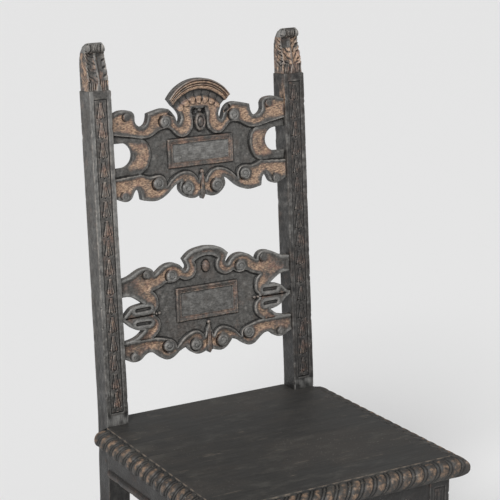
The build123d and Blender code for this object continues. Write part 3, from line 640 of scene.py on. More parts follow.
# Painted shade: darker tones and darker copies of the finish for the timbers below the seat and for
# the right post
SHADE, SHADE_LIGHT = tone(37, 35, 33), tone(64, 60, 56)
wood_across = ebonised("ebonised_across", (9, 1, 1), DARK, LIGHT)
wood_up = ebonised("ebonised_up", (1, 1, 20), DARK, LIGHT)
wood_up_shaded = ebonised("ebonised_up_shaded", (1, 1, 20), SHADE, tone(68, 65, 62))
wood_low_shaded = ebonised("ebonised_low_shaded", (20, 1, 1), SHADE, SHADE_LIGHT)
wood_deep_shaded = ebonised("ebonised_deep_shaded", (1, 20, 1), SHADE, SHADE_LIGHT)
seat_wood = seat_finish("seat_black")
peg_wood = plain_finish("peg_wood", tone(38, 33, 30), tone(70, 60, 52))
nail_iron = plain_finish("nail_iron", tone(52, 50, 48), tone(84, 80, 76), 0.3)

# ---- Patterns of the carved rails, on squares from the centre line, as in the CAD model
crest_volute_top = [(40, 69), (37.5, 57), (42, 49.5), (46.5, 58), (50, 68), (58, 75.5),
                    (69, 78), (84, 76), (100, 72)]
crest_end_hook = [(100, 72), (101.5, 62), (106, 54), (113, 51), (121, 54.5), (125.5, 62),
                  (125.5, 71), (130, 78), (141, 81), (156, 80), (169.5, 76)]
crest_end_scroll = [(169.5, -65), (157, -70), (146, -71.5), (137.5, -67), (133.5, -59),
                    (127, -52.5), (121.5, -57), (119.5, -65), (118.5, -72.5)]
crest_outer_volute = [(118.5, -72.5), (108, -75), (96, -76.5), (83, -74.5), (71, -68.5),
                      (61, -60), (52, -53), (43, -49)]
crest_centre_volute = [(43, -49), (44.5, -62), (36, -74), (21, -79.5), (10, -77.5), (5.5, -74.5)]
crest_leaf_tip = (0, -83.5)
crest_leaf_top = (0, -34)
crest_ground_cup = [(12, 72.5), (14.5, 61), (14, 49), (18, 36), (30, 27.5), (43, 29), (53, 38)]
crest_ground_volute = [(53, 38), (60, 43.5), (69, 44.5), (79, 42), (90, 36), (100, 32), (112, 31)]
crest_ground_side = [(112, 31), (104, 24), (99.5, 14), (98.5, 3), (101.5, -10), (108, -21),
                     (118, -28.5)]
crest_ground_outer = [(118, -28.5), (108, -32.5), (97, -34.5), (85, -33), (75, -37), (70, -46),
                      (70, -54)]
crest_ground_centre = [(70, -54), (61, -44), (49, -36), (36, -32), (23, -33.5), (12.5, -41),
                       (7, -51)]

lower_arch_end = [(0, 97), (18, 95), (35, 88.5), (45, 80)]
lower_notch = [(45, 80), (40.5, 72), (38.5, 64), (42, 60.5), (46.5, 64), (53, 70.5), (62, 75),
               (73, 76), (85, 72.5), (94, 66.5), (102.5, 60.5)]
lower_end_hook = [(102.5, 60.5), (104.5, 67), (110, 72.5), (120, 74.5), (132, 72), (143, 67),
                  (153, 62.5), (169.5, 59.5)]
lower_side_upper = [(169.5, 29.5), (150, 28), (139, 22), (127, 13)]
lower_side_loop = [(127, 13), (139, 12), (150, 9), (157, 3.5), (169.5, -5.5)]
lower_side_under = [(169.5, -12.5), (158, -19.5), (150, -26), (141, -30.5), (128, -33.5)]
lower_side_lower = [(128, -33.5), (138, -41), (151, -46.5), (169.5, -48.5)]
lower_end_scroll = [(169.5, -78), (157, -83.5), (146, -85.5), (137, -83.5), (130, -78)]
lower_outer_volute = [(130, -78), (120, -73.5), (109, -76.5), (100, -83.5), (91, -89.5),
                      (80, -91), (69, -86.5), (60, -79.5), (46, -74)]
lower_centre_volute = [(46, -74), (42, -79), (36, -85.5), (28, -90.2), (17, -90.5), (6, -86.5)]
lower_leaf_tip = (0, -92.5)
lower_leaf_top = (0, -38)
lower_ground_arch = [(0, 81), (13, 79), (24, 73)]
lower_ground_cup = [(24, 73), (20.5, 66), (20.5, 57), (25, 48.5), (34, 43.5), (44, 43.5), (54, 48)]
lower_ground_volute = [(54, 48), (62, 43.5), (71, 42), (80, 44), (88, 40), (97, 35.5), (108, 33)]
lower_ground_upper_c = [(108, 33), (100.5, 24), (97.5, 14), (99, 3), (105, -4)]
lower_ground_lower_c = [(105, -11), (98, -17), (95.5, -27), (99, -39), (110, -49)]
lower_ground_outer = [(110, -49), (96, -51.5), (83, -54.5), (73, -58.5), (66.5, -65), (65, -72)]
lower_ground_centre = [(65, -72), (58, -65), (49, -57), (38, -51), (27, -49), (16, -53), (9, -62)]

# Eyes of the scrolls: x, height, radius, sweep of the line cut on each, and how deep it is cut
crest_eyes = [(67, 55.5, 9.4, -400, 1.0), (138, 69.5, 6.2, -330, 0.55), (28.6, -62, 10.8, 400, 1.0),
              (84.7, -48, 9.8, 400, 1.0), (147.8, -63, 6.9, 360, 0.8)]
lower_eyes = [(68.5, 53, 9.8, 400, 1.0), (115.3, 62, 7, 360, 0.6), (26.1, -74, 10.3, 400, 1.0),
              (79.8, -68, 9.8, 400, 1.0), (145.8, -77, 6.9, 360, 0.8)]
OUTER_RIM = 2.8                # raised rim along the outline of a rail
GROUND_RIM = 1.8               # raised rim along the sunk ground
CRESCENT = radians(190)        # side of an eye on which the crescent is cut
LOBE_PITCH = radians(15)       # angle between the lobes of the shell
PATTERN_HALF = 169.5           # the squares of a pattern end here, at the post
INTO_POST = 6.0
TOOL_EDGE = 1.0                # the boards end this far inside the posts
SIDE_BAND = 96                 # the scrolls at the ends of a rail start here
pattern_fit = post_inner / PATTERN_HALF


def curve(*stretches):
    """Stretches of an outline as one polyline in millimetres; ends at a post go on into it."""
    lines = []
    for stretch in stretches:
        points = list(stretch)
        if points[-1][0] > PATTERN_HALF - 1:
            points.append((points[-1][0] + INTO_POST, points[-1][1]))
        if points[0][0] > PATTERN_HALF - 1:
            points.insert(0, (points[0][0] + INTO_POST, points[0][1]))
        lines.append(smooth([(x * pattern_fit, y) for x, y in points]))
    return np.concatenate(lines)


def blend(height, worn, share, new_height, new_worn):
    """Lay one form over another where the share is 1."""
    return height * (1 - share) + new_height * share, worn * (1 - share) + new_worn * share


def bead(height, worn, away, start, end, dome, dome_worn):
    """Lay a round form over another, out to between start and end."""
    return blend(height, worn, 1 - ramp(away, start, end), dome, dome_worn)


def scroll_surface(edge, sunk, seams=20):
    """Carved bands, dished between a thin rim along the ground and a wider one outside."""
    free = np.minimum(np.minimum(-sunk - GROUND_RIM, edge - OUTER_RIM), seams)
    dish = 0.6 * ramp(free, -1.2, 4.5) + 2.2 * ramp(free, 0.5, 9.5)
    rim_round = 0.7 * ramp(-sunk, 2.4, 0) + 0.6 * ramp(edge, 3.4, 0)
    height = scroll_face - dish - rim_round
    worn = -0.75 + 1.45 * ramp(free, -2.4, 7.0)
    return height, worn, free


def sink_ground(height, worn, sunk):
    """Lower the ground inside the scrolls; a groove runs along its edge."""
    low = ground_face + 0.2 * ramp(sunk, 3, 12) - 0.7 * hump(sunk - 1.6, 2.4)
    return blend(height, worn, ramp(sunk, -0.7, 0.8), low, -0.15)


def round_over(height, edge, radius=1.8):
    """The face falls away at the outline in a small round."""
    into = np.clip(radius - edge, 0, radius)
    return height - (radius - np.sqrt(np.maximum(radius ** 2 - into ** 2, 0)))


def framed_panel(x, y, half_sizes, height, worn, dry):
    """Mitred stepped moulding round a flat panel."""
    half_width, half_height = half_sizes
    into = np.minimum(half_width - np.abs(x), half_height - np.abs(y))
    steps = ([-1.0, 0, 0.5, 1.6, 3.2, 3.7, 5.2, 7.0, 8.0, 8.3, 9.4, 9.9, 10.6, 100],
             [0, 0, 2.4, 4.0, 4.0, 2.9, 2.7, 1.6, 1.4, 2.3, 2.3, 1.0, 0.5, 0.5])
    moulding = ground_face + np.interp(into, *steps)
    wear = np.interp(into, [0, 1, 3, 4, 7, 9, 10, 11],
                     [0.1, 0.35, 0.3, 0.2, 0.4, 0.4, dry, dry])
    return blend(height, worn, ramp(into, -0.8, 0.2), moulding, wear)


def centre_leaf(x, y, top, tip, height, worn):
    """Folded leaf that hangs between the centre scrolls, with a bead above it."""
    along = np.clip((top - y) / (top - tip), 0, 1)
    half = np.interp(along, [0, 0.25, 0.6, 0.85, 1.0], [1.2, 2.6, 3.4, 5.4, 0.2])
    share = ramp(half - np.abs(x), -0.6, 0.7) * ramp(top - y, -1, 1) * ramp(y - tip, -1, 0.5)
    leaf = scroll_face + 0.9 - 0.32 * np.abs(x) ** 1.3 - 1.2 * hump(x, 1.2)
    height = height - 1.6 * hump(np.abs(x) - half - 0.8, 1.5) * ramp(top - y, -1, 1)
    height, worn = blend(height, worn, share, leaf, 0.35)
    away = np.hypot(x, y - top - 1)
    return bead(height, worn, away, 2.6, 3.8, scroll_face + 0.4 - 0.14 * away ** 2, 0.5)


def hood_forms(x, y, height, worn):
    """Moulded hood over a shell of ribbed lobes, with a pierced-looking pit on each side."""
    shell_sag = hood_sag + hood_end_drop - hood_ring
    heel_x, heel_y = hood_heel
    inner_radius = (heel_x ** 2 + shell_sag ** 2) / (2 * shell_sag)
    inner_centre = hood_rise - hood_ring - inner_radius
    from_top = hood_radius - np.hypot(x, y - hood_rise + hood_radius)
    away = np.hypot(x, y - inner_centre)
    from_shell = away - inner_radius
    end_cut = ((y - heel_y) * hood_end_slant - (x - heel_x) * hood_end_drop)
    end_cut = end_cut / np.hypot(hood_end_slant, hood_end_drop)

    turn = np.arctan2(x, y - inner_centre)
    lobe = (turn / LOBE_PITCH + 0.5) % 1 - 0.5
    tip = 41 + 7 * np.abs(turn) ** 1.5 + 16 * lobe ** 2
    in_shell = np.minimum(away - tip, (1.15 - np.abs(turn)) * away)
    between = np.abs(lobe * 2) ** 2.4 * (0.3 + 0.7 * ramp(away, 54, 45))
    rib = 0.4 * np.cos(lobe * 6 * pi) * ramp(away, 54, 48)
    shell = scroll_face + 0.4 - 6.0 * between - 5.5 * ramp(away, 50, 57) + rib
    share = ramp(in_shell, -0.3, 0.8) * (y > 50) * (from_shell < 3)
    shell_wear = (1.1 - 0.7 * np.abs(lobe * 2) ** 2) * ramp(away, 57, 51)
    height, worn = blend(height, worn, share, shell, shell_wear)

    share_down = from_top / np.maximum(from_top + from_shell, 1e-6) * hood_ring
    profile = ([0, 3.0, 3.6, 4.6, 5.2, 7.4, 8.1, 9.3, 10, 11.2, 11.9, 12.8, 13.6, 17.2, 18.0, 19],
               [4, 4.0, 1.6, 1.4, 3.2, 2.8, 0.4, 0.4, 2.4, 2.4, 0.0, 0.0, 1.8, 0.2, -1.0, -4.4])
    moulding = scroll_face + np.interp(share_down, *profile)
    hood_wear = np.interp(share_down, [0, 4, 5, 8, 9, 12, 13, 17, 19],
                          [0.45, 0.4, 0.95, 0.9, 0.6, 0.6, 1.1, 1.05, 0.3])
    in_hood = np.minimum(np.minimum(from_top, from_shell), end_cut)
    height, worn = blend(height, worn, ramp(in_hood, -0.3, 0.8), moulding, hood_wear)
    pit = 1 - ramp(np.hypot(x - 11, (y - 69) * 0.8), 4.2, 6.6)
    height = height - 3.4 * pit * (away < tip)
    away = np.hypot(x, y - 70)
    return bead(height, worn, away, 2.6, 3.8, scroll_face - 0.12 * away ** 2, 0.0)


def crest_shape(x, y):
    """Right half of the crest rail."""
    turn = np.linspace(0, asin(hood_half / hood_radius), 60)
    hood = np.stack([hood_radius * np.sin(turn), hood_rise - hood_radius * (1 - np.cos(turn))], 1)
    outline = np.concatenate([
        hood, curve([(hood_heel[0] / pattern_fit, hood_heel[1])] + crest_volute_top),
        curve(crest_end_hook, crest_end_scroll, crest_outer_volute, crest_centre_volute),
        [crest_leaf_tip]])
    edge = signed(x, y, outline)
    hole_x, hole_y = x - (post_inner - hole_inset), y - hole_height
    hole = np.where(hole_x < 0, np.hypot(hole_x, hole_y), np.abs(hole_y)) - hole_radius
    ground = np.concatenate([
        [(0, 72.5)], curve(crest_ground_cup, crest_ground_volute, crest_ground_side,
                           crest_ground_outer, crest_ground_centre), [crest_leaf_top]])
    sunk = signed(x, y, ground)

    # The C scroll round the side hole passes under the bands above and below it
    above = y - np.interp(x, [96, 110, 133, 167], [31, 31, 36, 42])
    below = np.interp(x, [96, 116, 138, 167], [-28.5, -28.5, -30, -32]) - y
    to_band = np.maximum(above, below)
    side = x > SIDE_BAND
    seams = np.where(side & (to_band > 0), to_band - 2.4, 20)
    room = np.where(side & (to_band < 0), 20, edge)
    height, worn, free = scroll_surface(room, sunk, seams)
    across = -sunk
    strap = (scroll_face - 0.4 * ramp(across, 2.0, 0) - 0.8 * ramp(across, 2.2, 7)
             - 3.0 * ramp(across, 9, 26) - 2.2 * ramp(to_band, -12, 0))
    worn = worn + 0.2
    strap_wear = -0.3 + 1.0 * ramp(across, 0.5, 6) * ramp(across, 34, 21) * ramp(to_band, -3, -14)
    under = side * ramp(-to_band, -0.3, 0.5)
    height, worn = blend(height, worn, under, strap, strap_wear)
    edge = np.minimum(edge, hole)

    height, worn = sink_ground(height, worn, sunk)
    height, worn = framed_panel(x, y, crest_panel, height, worn, -0.6)
    height, worn = centre_leaf(x, y, -36, crest_leaf_tip[1], height, worn)
    height, worn = hood_forms(x, y, height, worn)
    oval = np.hypot(x / 10, (y - 50) / 16)
    oval_profile = ([0, 0.40, 0.5, 0.56, 0.62, 0.72, 0.86, 0.94, 1.0, 1.08],
                    [-0.8, -1.8, -3.4, -5.0, -4.4, -2.8, -2.8, -4.4, -7.6, -10.2])
    height, worn = bead(height, worn, oval, 0.98, 1.1, np.interp(oval, *oval_profile), 0.2)
    return edge, height, worn, free


def lower_shape(x, y):
    """Right half of the lower back rail."""
    outline = np.concatenate([
        curve(lower_arch_end, lower_notch, lower_end_hook, lower_side_upper, lower_side_loop,
              lower_side_under, lower_side_lower, lower_end_scroll, lower_outer_volute,
              lower_centre_volute), [lower_leaf_tip]])
    edge = signed(x, y, outline)
    ground = np.concatenate([
        curve(lower_ground_arch, lower_ground_cup, lower_ground_volute, lower_ground_upper_c,
              lower_ground_lower_c, lower_ground_outer, lower_ground_centre), [lower_leaf_top]])
    sunk = signed(x, y, ground)
    rings = np.full(x.shape, 20.0)
    slots = []
    for slot_y in slot_heights:
        line = np.array([(end, slot_y) for end in slot_ends], float)
        away = distance(x, y, line) - slot_half
        slots.append(away)
        rings = np.minimum(rings, np.abs(away - 1.8) - 1.6)
    band = np.interp(x, [96, 108, 167], [-49, -49, -48.5]) - y
    rings = np.where((x > SIDE_BAND) & (band > 0), np.minimum(rings, band - 2.0), rings)
    height, worn, free = scroll_surface(edge, sunk, rings)
    from_axis = np.abs(y + 8)
    worn = worn + 0.1 - 0.3 * ramp(x, 105, 120) * (from_axis < 40)
    worn = worn - 0.5 * ramp(y, 72, 80) * (x < 50)
    worn = worn - ramp(x, 112, 150) * np.where(y > 0, 0.55, 0.3) * (from_axis > 40)
    for away in slots:
        height = np.minimum(height, scroll_face + 0.4 - 4.0 * ramp(-away, -0.5, 1.2))
    divide = distance(x, y, smooth([(99, -7.5), (123, -8.5), (146, -9), (158, -9)]))
    height = height - 3.2 * hump(divide, 1.9)
    height, worn = sink_ground(height, worn, sunk)
    for bead_x, size in ((94.5, 3.2), (101, 2.4)):
        away = np.hypot(x - bead_x, y + 7.5)
        height, worn = bead(height, worn, away, size - 0.8, size,
                            scroll_face - 0.5 - 0.2 * away ** 2, 0.2)
    height, worn = framed_panel(x, y, lower_panel, height, worn, -0.38)
    height, worn = centre_leaf(x, y, -38, lower_leaf_tip[1], height, worn)
    oval = np.hypot(x / 7, (y - 62) / 10)
    height = height - 1.4 * hump(oval - 1.12, 0.2)
    height, worn = bead(height, worn, oval, 0.96, 1.1, scroll_face + 2.6 - 5.5 * oval ** 2, 0.3)
    return edge, height, worn, free


carved_board("crest_board", wood_across, "crest_rail", on_back(crest_height),
             post_inner + TOOL_EDGE, *crest_span, crest_shape, crest_eyes, 11)
carved_board("lower_board", wood_across, "lower_back_rail", on_back(lower_height),
             post_inner + TOOL_EDGE, *lower_span, lower_shape, lower_eyes, 23)

# ---- Front stretcher: the lower border and the same border turned over
stretcher_middle = centre_and_half("front_stretcher")[0][2]
stretcher_face = leg_low[1] + foot_flare + stretcher_setback
stretcher_half_height = 67.5
stretcher_axis = -25.0         # height in the lower rail's pattern at which the border is turned


def stretcher_shape(x, y):
    """Right half of the front stretcher; both borders are mirror images about its axis."""
    x = x * post_inner / leg_inner
    y = stretcher_axis - np.abs(y)
    outline = np.concatenate([
        [(0, 60), (post_inner + INTO_POST, 60)],
        curve(lower_end_scroll, lower_outer_volute, lower_centre_volute), [lower_leaf_tip]])
    edge = signed(x, y, outline)
    waist = curve([(110, -1), (101, -12), (98, -25), (101, -38), (110, -49)])
    ground = np.concatenate([[(0, 60), (108, 60)], waist,
                             curve(lower_ground_outer, lower_ground_centre), [(0, -45)]])
    sunk = signed(x, y, ground)
    height, worn, free = scroll_surface(edge, sunk)
    height, worn = sink_ground(height, worn, sunk)
    height, worn = centre_leaf(x, y, -44, lower_leaf_tip[1], height, worn)
    away = np.hypot(x, y - stretcher_axis)
    profile = ([0, 3, 4, 5.5, 8, 9.5, 11, 12], [0.8, 0.2, -1.8, -2.6, -1, -1, -3, -6])
    height, worn = bead(height, worn, away, 10.4, 11.6,
                        scroll_face + np.interp(away, *profile), 0.2)
    return edge, height, worn, free


stretcher_eyes = [
    (eye_x * leg_inner / post_inner, turned * (eye_y - stretcher_axis), *cut)
    for eye_x, eye_y, *cut in lower_eyes[2:] for turned in (1, -1)]
carved_board(
    "front_stretcher_board", wood_across, "front_stretcher",
    lambda x, y, z: np.stack([x, stretcher_face + scroll_face - z, stretcher_middle + y], 1),
    leg_inner + TOOL_EDGE, -stretcher_half_height, stretcher_half_height, stretcher_shape,
    stretcher_eyes, 37)


# ---- Back posts
SHADED = 0.6                   # timbers below the seat are darker
PLAIN_WEAR = -0.1              # wear of the plain timbers
HUSK_HALF = 11.6               # half width of the sunk panel of a post
HUSK_PITCH = 33.5              # rough length of one husk
HUSK_MARGIN = 4                # from the end of the panel to the first husk
CORNERS = ((-1, 1), (1, 1), (1, -1), (-1, -1))


def husk_face(across, along, low, high):
    """Sunk panel with an incised border and a chain of husks: depth and wear."""
    wide = np.abs(across)
    into = np.minimum(HUSK_HALF - wide, np.minimum(along - low, high - along))
    depth = -0.5 * ramp(into, -0.2, 0.6) - 1.5 * hump(into - 0.6, 1.7)
    length = high - low - 2 * HUSK_MARGIN
    pitch = length / round(length / HUSK_PITCH)
    drop = 1 - ((along - low - HUSK_MARGIN) / pitch) % 1
    width = 2.4 + 4.6 * np.clip(drop / 0.8, 0, 1) ** 1.6
    scallop = 0.80 + 0.045 * np.cos(np.clip(wide / 7, 0, 1) * 3 * pi)
    body = ramp(width - wide, -0.5, 0.6) * ramp(scallop - drop, -0.02, 0.02)
    body = body * ramp(drop, 0.01, 0.05)
    field = ramp(into, 1.6, 2.4)
    outline = hump(width - wide + 0.7, 1.6) * ramp(drop, 0.04, 0.1) * ramp(0.84 - drop, 0, 0.04)
    depth = depth - field * (0.6 * (1 - body) + 1.2 * outline)
    depth = depth + field * body * 0.5 * (1 - (across / 8) ** 2)
    line = np.abs(wide - width * 0.5)
    depth = depth - field * body * hump(line, 1.2) * ramp(drop, 0.2, 0.35)
    for dot_x, dot_drop in ((0.0, 0.87), (6.2, 0.80), (-6.2, 0.80)):
        away = np.hypot(across - dot_x, (drop - dot_drop) * pitch)
        depth = depth - 1.8 * hump(away, 2.2) * field
    return depth, field * (0.18 + 0.3 * body)


def hewn(along, around, seed):
    """Slight unevenness of a hand-planed face."""
    fine = ripple(along, around * 3, 17, seed + 1)
    return -0.25 + 0.12 * ripple(along, around, 60, seed) + 0.06 * fine


def nicks(along, seed, span, count):
    """Chips along an edge."""
    draw = np.random.default_rng(seed)
    depth = 0 * along
    for _ in range(count):
        at, size, long = draw.uniform(*span), draw.uniform(0.4, 1.6), draw.uniform(2, 9)
        depth = depth - size * hump(along - at, long)
    return depth


def chipped(depth, x, y, half_width, half_depth, along, seed, span, count, reach=3.2):
    """Depth with chips along the four corners of a timber."""
    for number, (sx, sy) in enumerate(CORNERS):
        away = np.hypot(x - sx * half_width, y - sy * half_depth)
        depth = depth + nicks(along, seed + 10 + number, span, count) * hump(away, reach)
    return depth


def post_stations(side):
    """Sections of a post as (centre, across, out), and the place of each along the post."""
    half = post_depth / 2
    stations, along = [], []

    def section(centre, out, place):
        stations.append(((side * post_centre, centre[1], centre[2]), (1, 0, 0), out))
        along.append(place)

    kick = atan2(foot_kick, kick_height)
    for rise in np.linspace(0, kick_height - 10, 40):
        y = post_front + half + foot_kick - foot_kick * rise / kick_height
        turn = kick * min(1, rise / 20)
        section((0, y, rise), (0, -cos(turn), -sin(turn)), rise - seat_height)
    bend_start = seat_height + bend_rise - bend_reach
    for rise in np.linspace(kick_height + 10, bend_start, 16):
        section((0, post_front + half, rise), (0, -1, 0), rise - seat_height)
    lower_end = np.array([0, post_front + half, bend_start])
    upper_along = bend_rise + bend_reach
    upper_end = back_origin + upper_along * back_up - half * back_out
    corner = lower_end + np.array([0, 0, 1]) * bend_reach
    for share in np.linspace(0, 1, 32)[1:-1]:
        centre = ((1 - share) ** 2 * lower_end + 2 * share * (1 - share) * corner
                  + share ** 2 * upper_end)
        turn = rake * share
        section(centre, (0, -cos(turn), sin(turn)),
                bend_rise - bend_reach + share * 2 * bend_reach)
    shoulder = (shoulder_height - 1.5, shoulder_height - 0.7, shoulder_height)
    for place in (*np.arange(upper_along, shoulder_height - 1.6, 0.9), *shoulder):
        section(back_origin + place * back_up - half * back_out, back_out, place)
    return stations, np.array(along)


def back_post(name, side, seed):
    left = side < 0
    stations, along = post_stations(side)
    half = np.full(len(stations), post_width / 2)
    half[-2:] -= (0.6, 1.5)
    deep = half + (post_depth - post_width) / 2
    up = along[:, None]

    def carve(face, x, y):
        around = x + 2 * y
        depth = hewn(up, around, seed)
        worn = -0.12 + 0.2 * ripple(up, around, 90, seed + 5) + 0 * x
        carved, carved_wear = husk_face(x, up + 0 * x, 22.0, shoulder_height - 14)
        on_front = (face == 0) & (up > 18)
        depth = depth + on_front * carved
        worn = np.where(on_front, worn + carved_wear * (1.0 if left else 0.6), worn)
        strip = on_front * ramp(np.abs(x), 11.8, 13)
        worn = worn - (0.6 if left else 0.1) * strip * ramp(up, -100, 400)
        block = (face == 0) * ramp(up, -2, 2) * ramp(up, 20, 16)
        worn = worn - 0.8 * block
        bare = (face == (1 if left else 3)) * hump(up - 532, 40) * hump(y - 10, 22)
        worn = worn + 1.3 * bare
        depth = chipped(depth, x, y, half[:, None], deep[:, None], up, seed, (-430, 560), 14)
        # Painted light: raised carving is lighter and hollows darker; painted shade makes the post
        # darker low down and below the seat, darker on the right post, and darker on its side that
        # looks left
        relief_shading = depth - blurred(depth + 0 * x, 4)
        relief_shading = relief_shading + 0.2 * ripple(up, x + 2 * y, 22, seed + 7)
        relief_shading = np.where(relief_shading > 0, relief_shading, 1.6 * relief_shading)
        shade = [SHADED, 0.36, 0.0] if left else [SHADED, 0.52, 0.25]
        relief_shading = relief_shading - np.interp(up, [-60, 0, 350], shade) - 0.22 * (face == 3)
        return depth, worn, np.clip(relief_shading, -1, 1)

    body = timber(stations, half, deep, (0.85, 4.5), 1.3, carve)
    body[0][:, 2] = np.maximum(body[0][:, 2], 0)
    add_timber(name, joined(body, finial_skin(side, seed)), wood_up if left else wood_up_shaded)


# ---- Finials: setback from the front of the post, or half width, against height
HEAD_TOP = 78.1
FRONT_PROFILE = [(2.2, 0), (3, 14), (6, 30), (10, 44), (13, 56)]
BACK_PROFILE = [(36.9, 0), (36.9, 38), (36, 50), (33, 62), (28, 72), (21, 77), (14, HEAD_TOP)]
HALF_PROFILE = [(18.8, 0), (18.9, 28), (18.6, 52), (17.8, 63), (15.8, 72), (12.8, HEAD_TOP)]
ROLL_FOOT = 62                 # the roll is carved from here up
ROLL = (12.5, 70.5, 7.8)       # setback, height, radius
SIDE_GROOVES = (
    [(31, 66), (25, 60), (15, 54), (6, 50)],
    [(32, 56), (25, 48), (15, 42), (5, 39)],
    [(31, 44), (24, 37), (14, 32), (4, 30)],
    [(29, 32), (22, 26), (13, 22), (4, 21)],
    [(26, 20), (19, 15), (12, 13), (9, 17), (13, 20)],
    [(22, 50), (17, 47), (12, 49)],
    [(20, 38), (15, 36), (11, 38)],
)


def finial_skin(side, seed):
    """Leaf-carved head of a post under a forward roll."""
    left = side < 0
    rise = np.concatenate([np.arange(-2, 70, 0.8), np.linspace(70, HEAD_TOP, 18)])
    front, rear, half_width = (np.interp(rise, *zip(*[(h, s) for s, h in profile]))
                               for profile in (FRONT_PROFILE, BACK_PROFILE, HALF_PROFILE))
    roll_setback, roll_height, roll_radius = ROLL
    roll = roll_setback - np.sqrt(np.maximum(roll_radius ** 2 - (rise - roll_height) ** 2, 0))
    front = np.where(rise > 60, np.minimum(roll, front), front)
    front = np.minimum(front, rear - 4)
    half_depth = (rear - front) / 2
    stations = []
    for at, f, r in zip(rise, front, rear):
        centre = back_origin + (shoulder_height + at) * back_up - (f + r) / 2 * back_out
        centre[0] = side * post_centre
        stations.append((centre, (1, 0, 0), back_out))
    up = rise[:, None]
    setback = ((front + rear) / 2)[:, None]
    grooves = [smooth(line) for line in SIDE_GROOVES]

    def carve(face, x, y):
        wide, tall = np.abs(x) + 0 * up, up + 0 * x
        depth = 0 * x - 0.2 + 0.18 * ripple(tall, x + 2 * y, 9, seed)
        worn = 0.3 + 0.5 * ripple(tall, x + y, 24, seed + 1)
        lean = x - 0.03 * (tall - 30) * side
        leaf = (face == 0) & (up < ROLL_FOOT)
        base = ramp(tall, 17, 14.5)
        rib_half = 1.3 + 3.4 * ramp(tall, 15, 0)
        rib = ramp(np.abs(lean), rib_half + 0.9, rib_half - 0.4)
        dish = -2.2 * ramp(wide, 1.5, 5) * ramp(wide, 17, 11) * (1 - base)
        notch = 0
        for at in (25, 38, 50):
            notch = notch - 2.8 * hump(tall - at - 0.5 * (wide - 15), 2.6) * ramp(x, 10, 14)
        sunk_base = -2.6 * base * ramp(wide, rib_half, rib_half + 2)
        gouge = -1.5 * base * hump((x / 3.4) % 1 - 0.5, 0.4) * ramp(wide, rib_half, rib_half + 1)
        # Feathered leaf: left of the left finial's rib, and on both sides of the right one's
        back_set = setback - y
        cheek = (face == 1) | (face == 3)
        around = np.where(cheek, 19 + back_set - front[:, None], wide)
        feather = (tall - 0.85 * around + 2.5 * np.sin(around / 7) + 3 * np.sin(tall / 11)
                   + 1.8 * ripple(tall, around, 17, seed + 3)) / (7.4 if left else 10)
        cut = hump(feather % 1 - 0.5, 0.34) * (0.7 + 0.5 * ripple(tall, around, 13, seed + 4))
        sides = (x < -rib_half) if left else (np.abs(x) > rib_half) & ((x > 0) | (up < 44))
        feathered = (1 - base) * (leaf & sides)
        depth = depth + leaf * (dish + notch + sunk_base + gouge + 0.9 * rib)
        depth = depth - 1.6 * cut * feathered
        worn = np.where(leaf & (base < 0.5), worn - 0.35, worn)
        worn = worn + feathered * ((0.5 if left else 0.9) - 0.6 * cut)
        worn = np.where(leaf & (rib > 0.5), -0.5 if left else 0.4, worn)
        groove = 0
        if left:
            groove = -1.6 * cut * ramp(back_set, 26, 20)
        else:
            for line in grooves:
                away = distance(back_set, tall, line, 6)
                groove = groove - 2.2 * hump(away, 1.9) + 0.5 * hump(away - 3.0, 1.6)
        side_base = -2.0 * ramp(tall, 13, 11) * hump(((back_set - 2) / 6) % 1 - 0.5, 0.4)
        fade = ramp(back_set, 33, 28)
        eye = np.hypot(back_set - roll_setback + 1, tall - roll_height)
        eye_cut = -2.4 * hump(eye - 5.6, 1.6) + 0.4 * hump(eye, 4)
        depth = depth + cheek * ((groove * (tall > 12) + side_base) * fade * (tall < 60)
                                 + eye_cut * (tall > 61))
        worn = np.where(cheek, worn + 0.25 * fade, worn)
        top = (face == 0) & (up >= ROLL_FOOT)
        ribs = -1.6 * hump((x / 3.2 + 0.5) % 1 - 0.5, 0.36) * (wide < 7)
        crescent = -3.6 * hump(wide - 8.8 - 0.02 * (tall - 70) ** 2, 2.4)
        depth = depth + top * (ribs + crescent) * ramp(tall, 77, 74)
        worn = np.where(face == 2, 0.05, worn)
        worn_roll = np.where(wide > 9, -0.75, -0.35 if left else 0.0)
        worn = np.where(tall > ROLL_FOOT, worn_roll, worn)
        # Painted light: raised carving is lighter and hollows darker
        relief_shading = depth - blurred(depth + 0 * x, 5)
        return depth, worn, np.clip(np.where(relief_shading > 0, 0.9 * relief_shading, 1.3 * relief_shading), -1, 1)

    return timber(stations, half_width, half_depth, (0.8, 0.85), 2.4, carve)


back_post("rear_post_left", -1, 41)
back_post("rear_post_right", 1, 61)


# ---- Front legs
LEG_PANEL_HALF = 11
LEG_PANEL_FOOT = 52            # above the floor
LEG_PANEL_HEAD = 12            # below the top of the leg


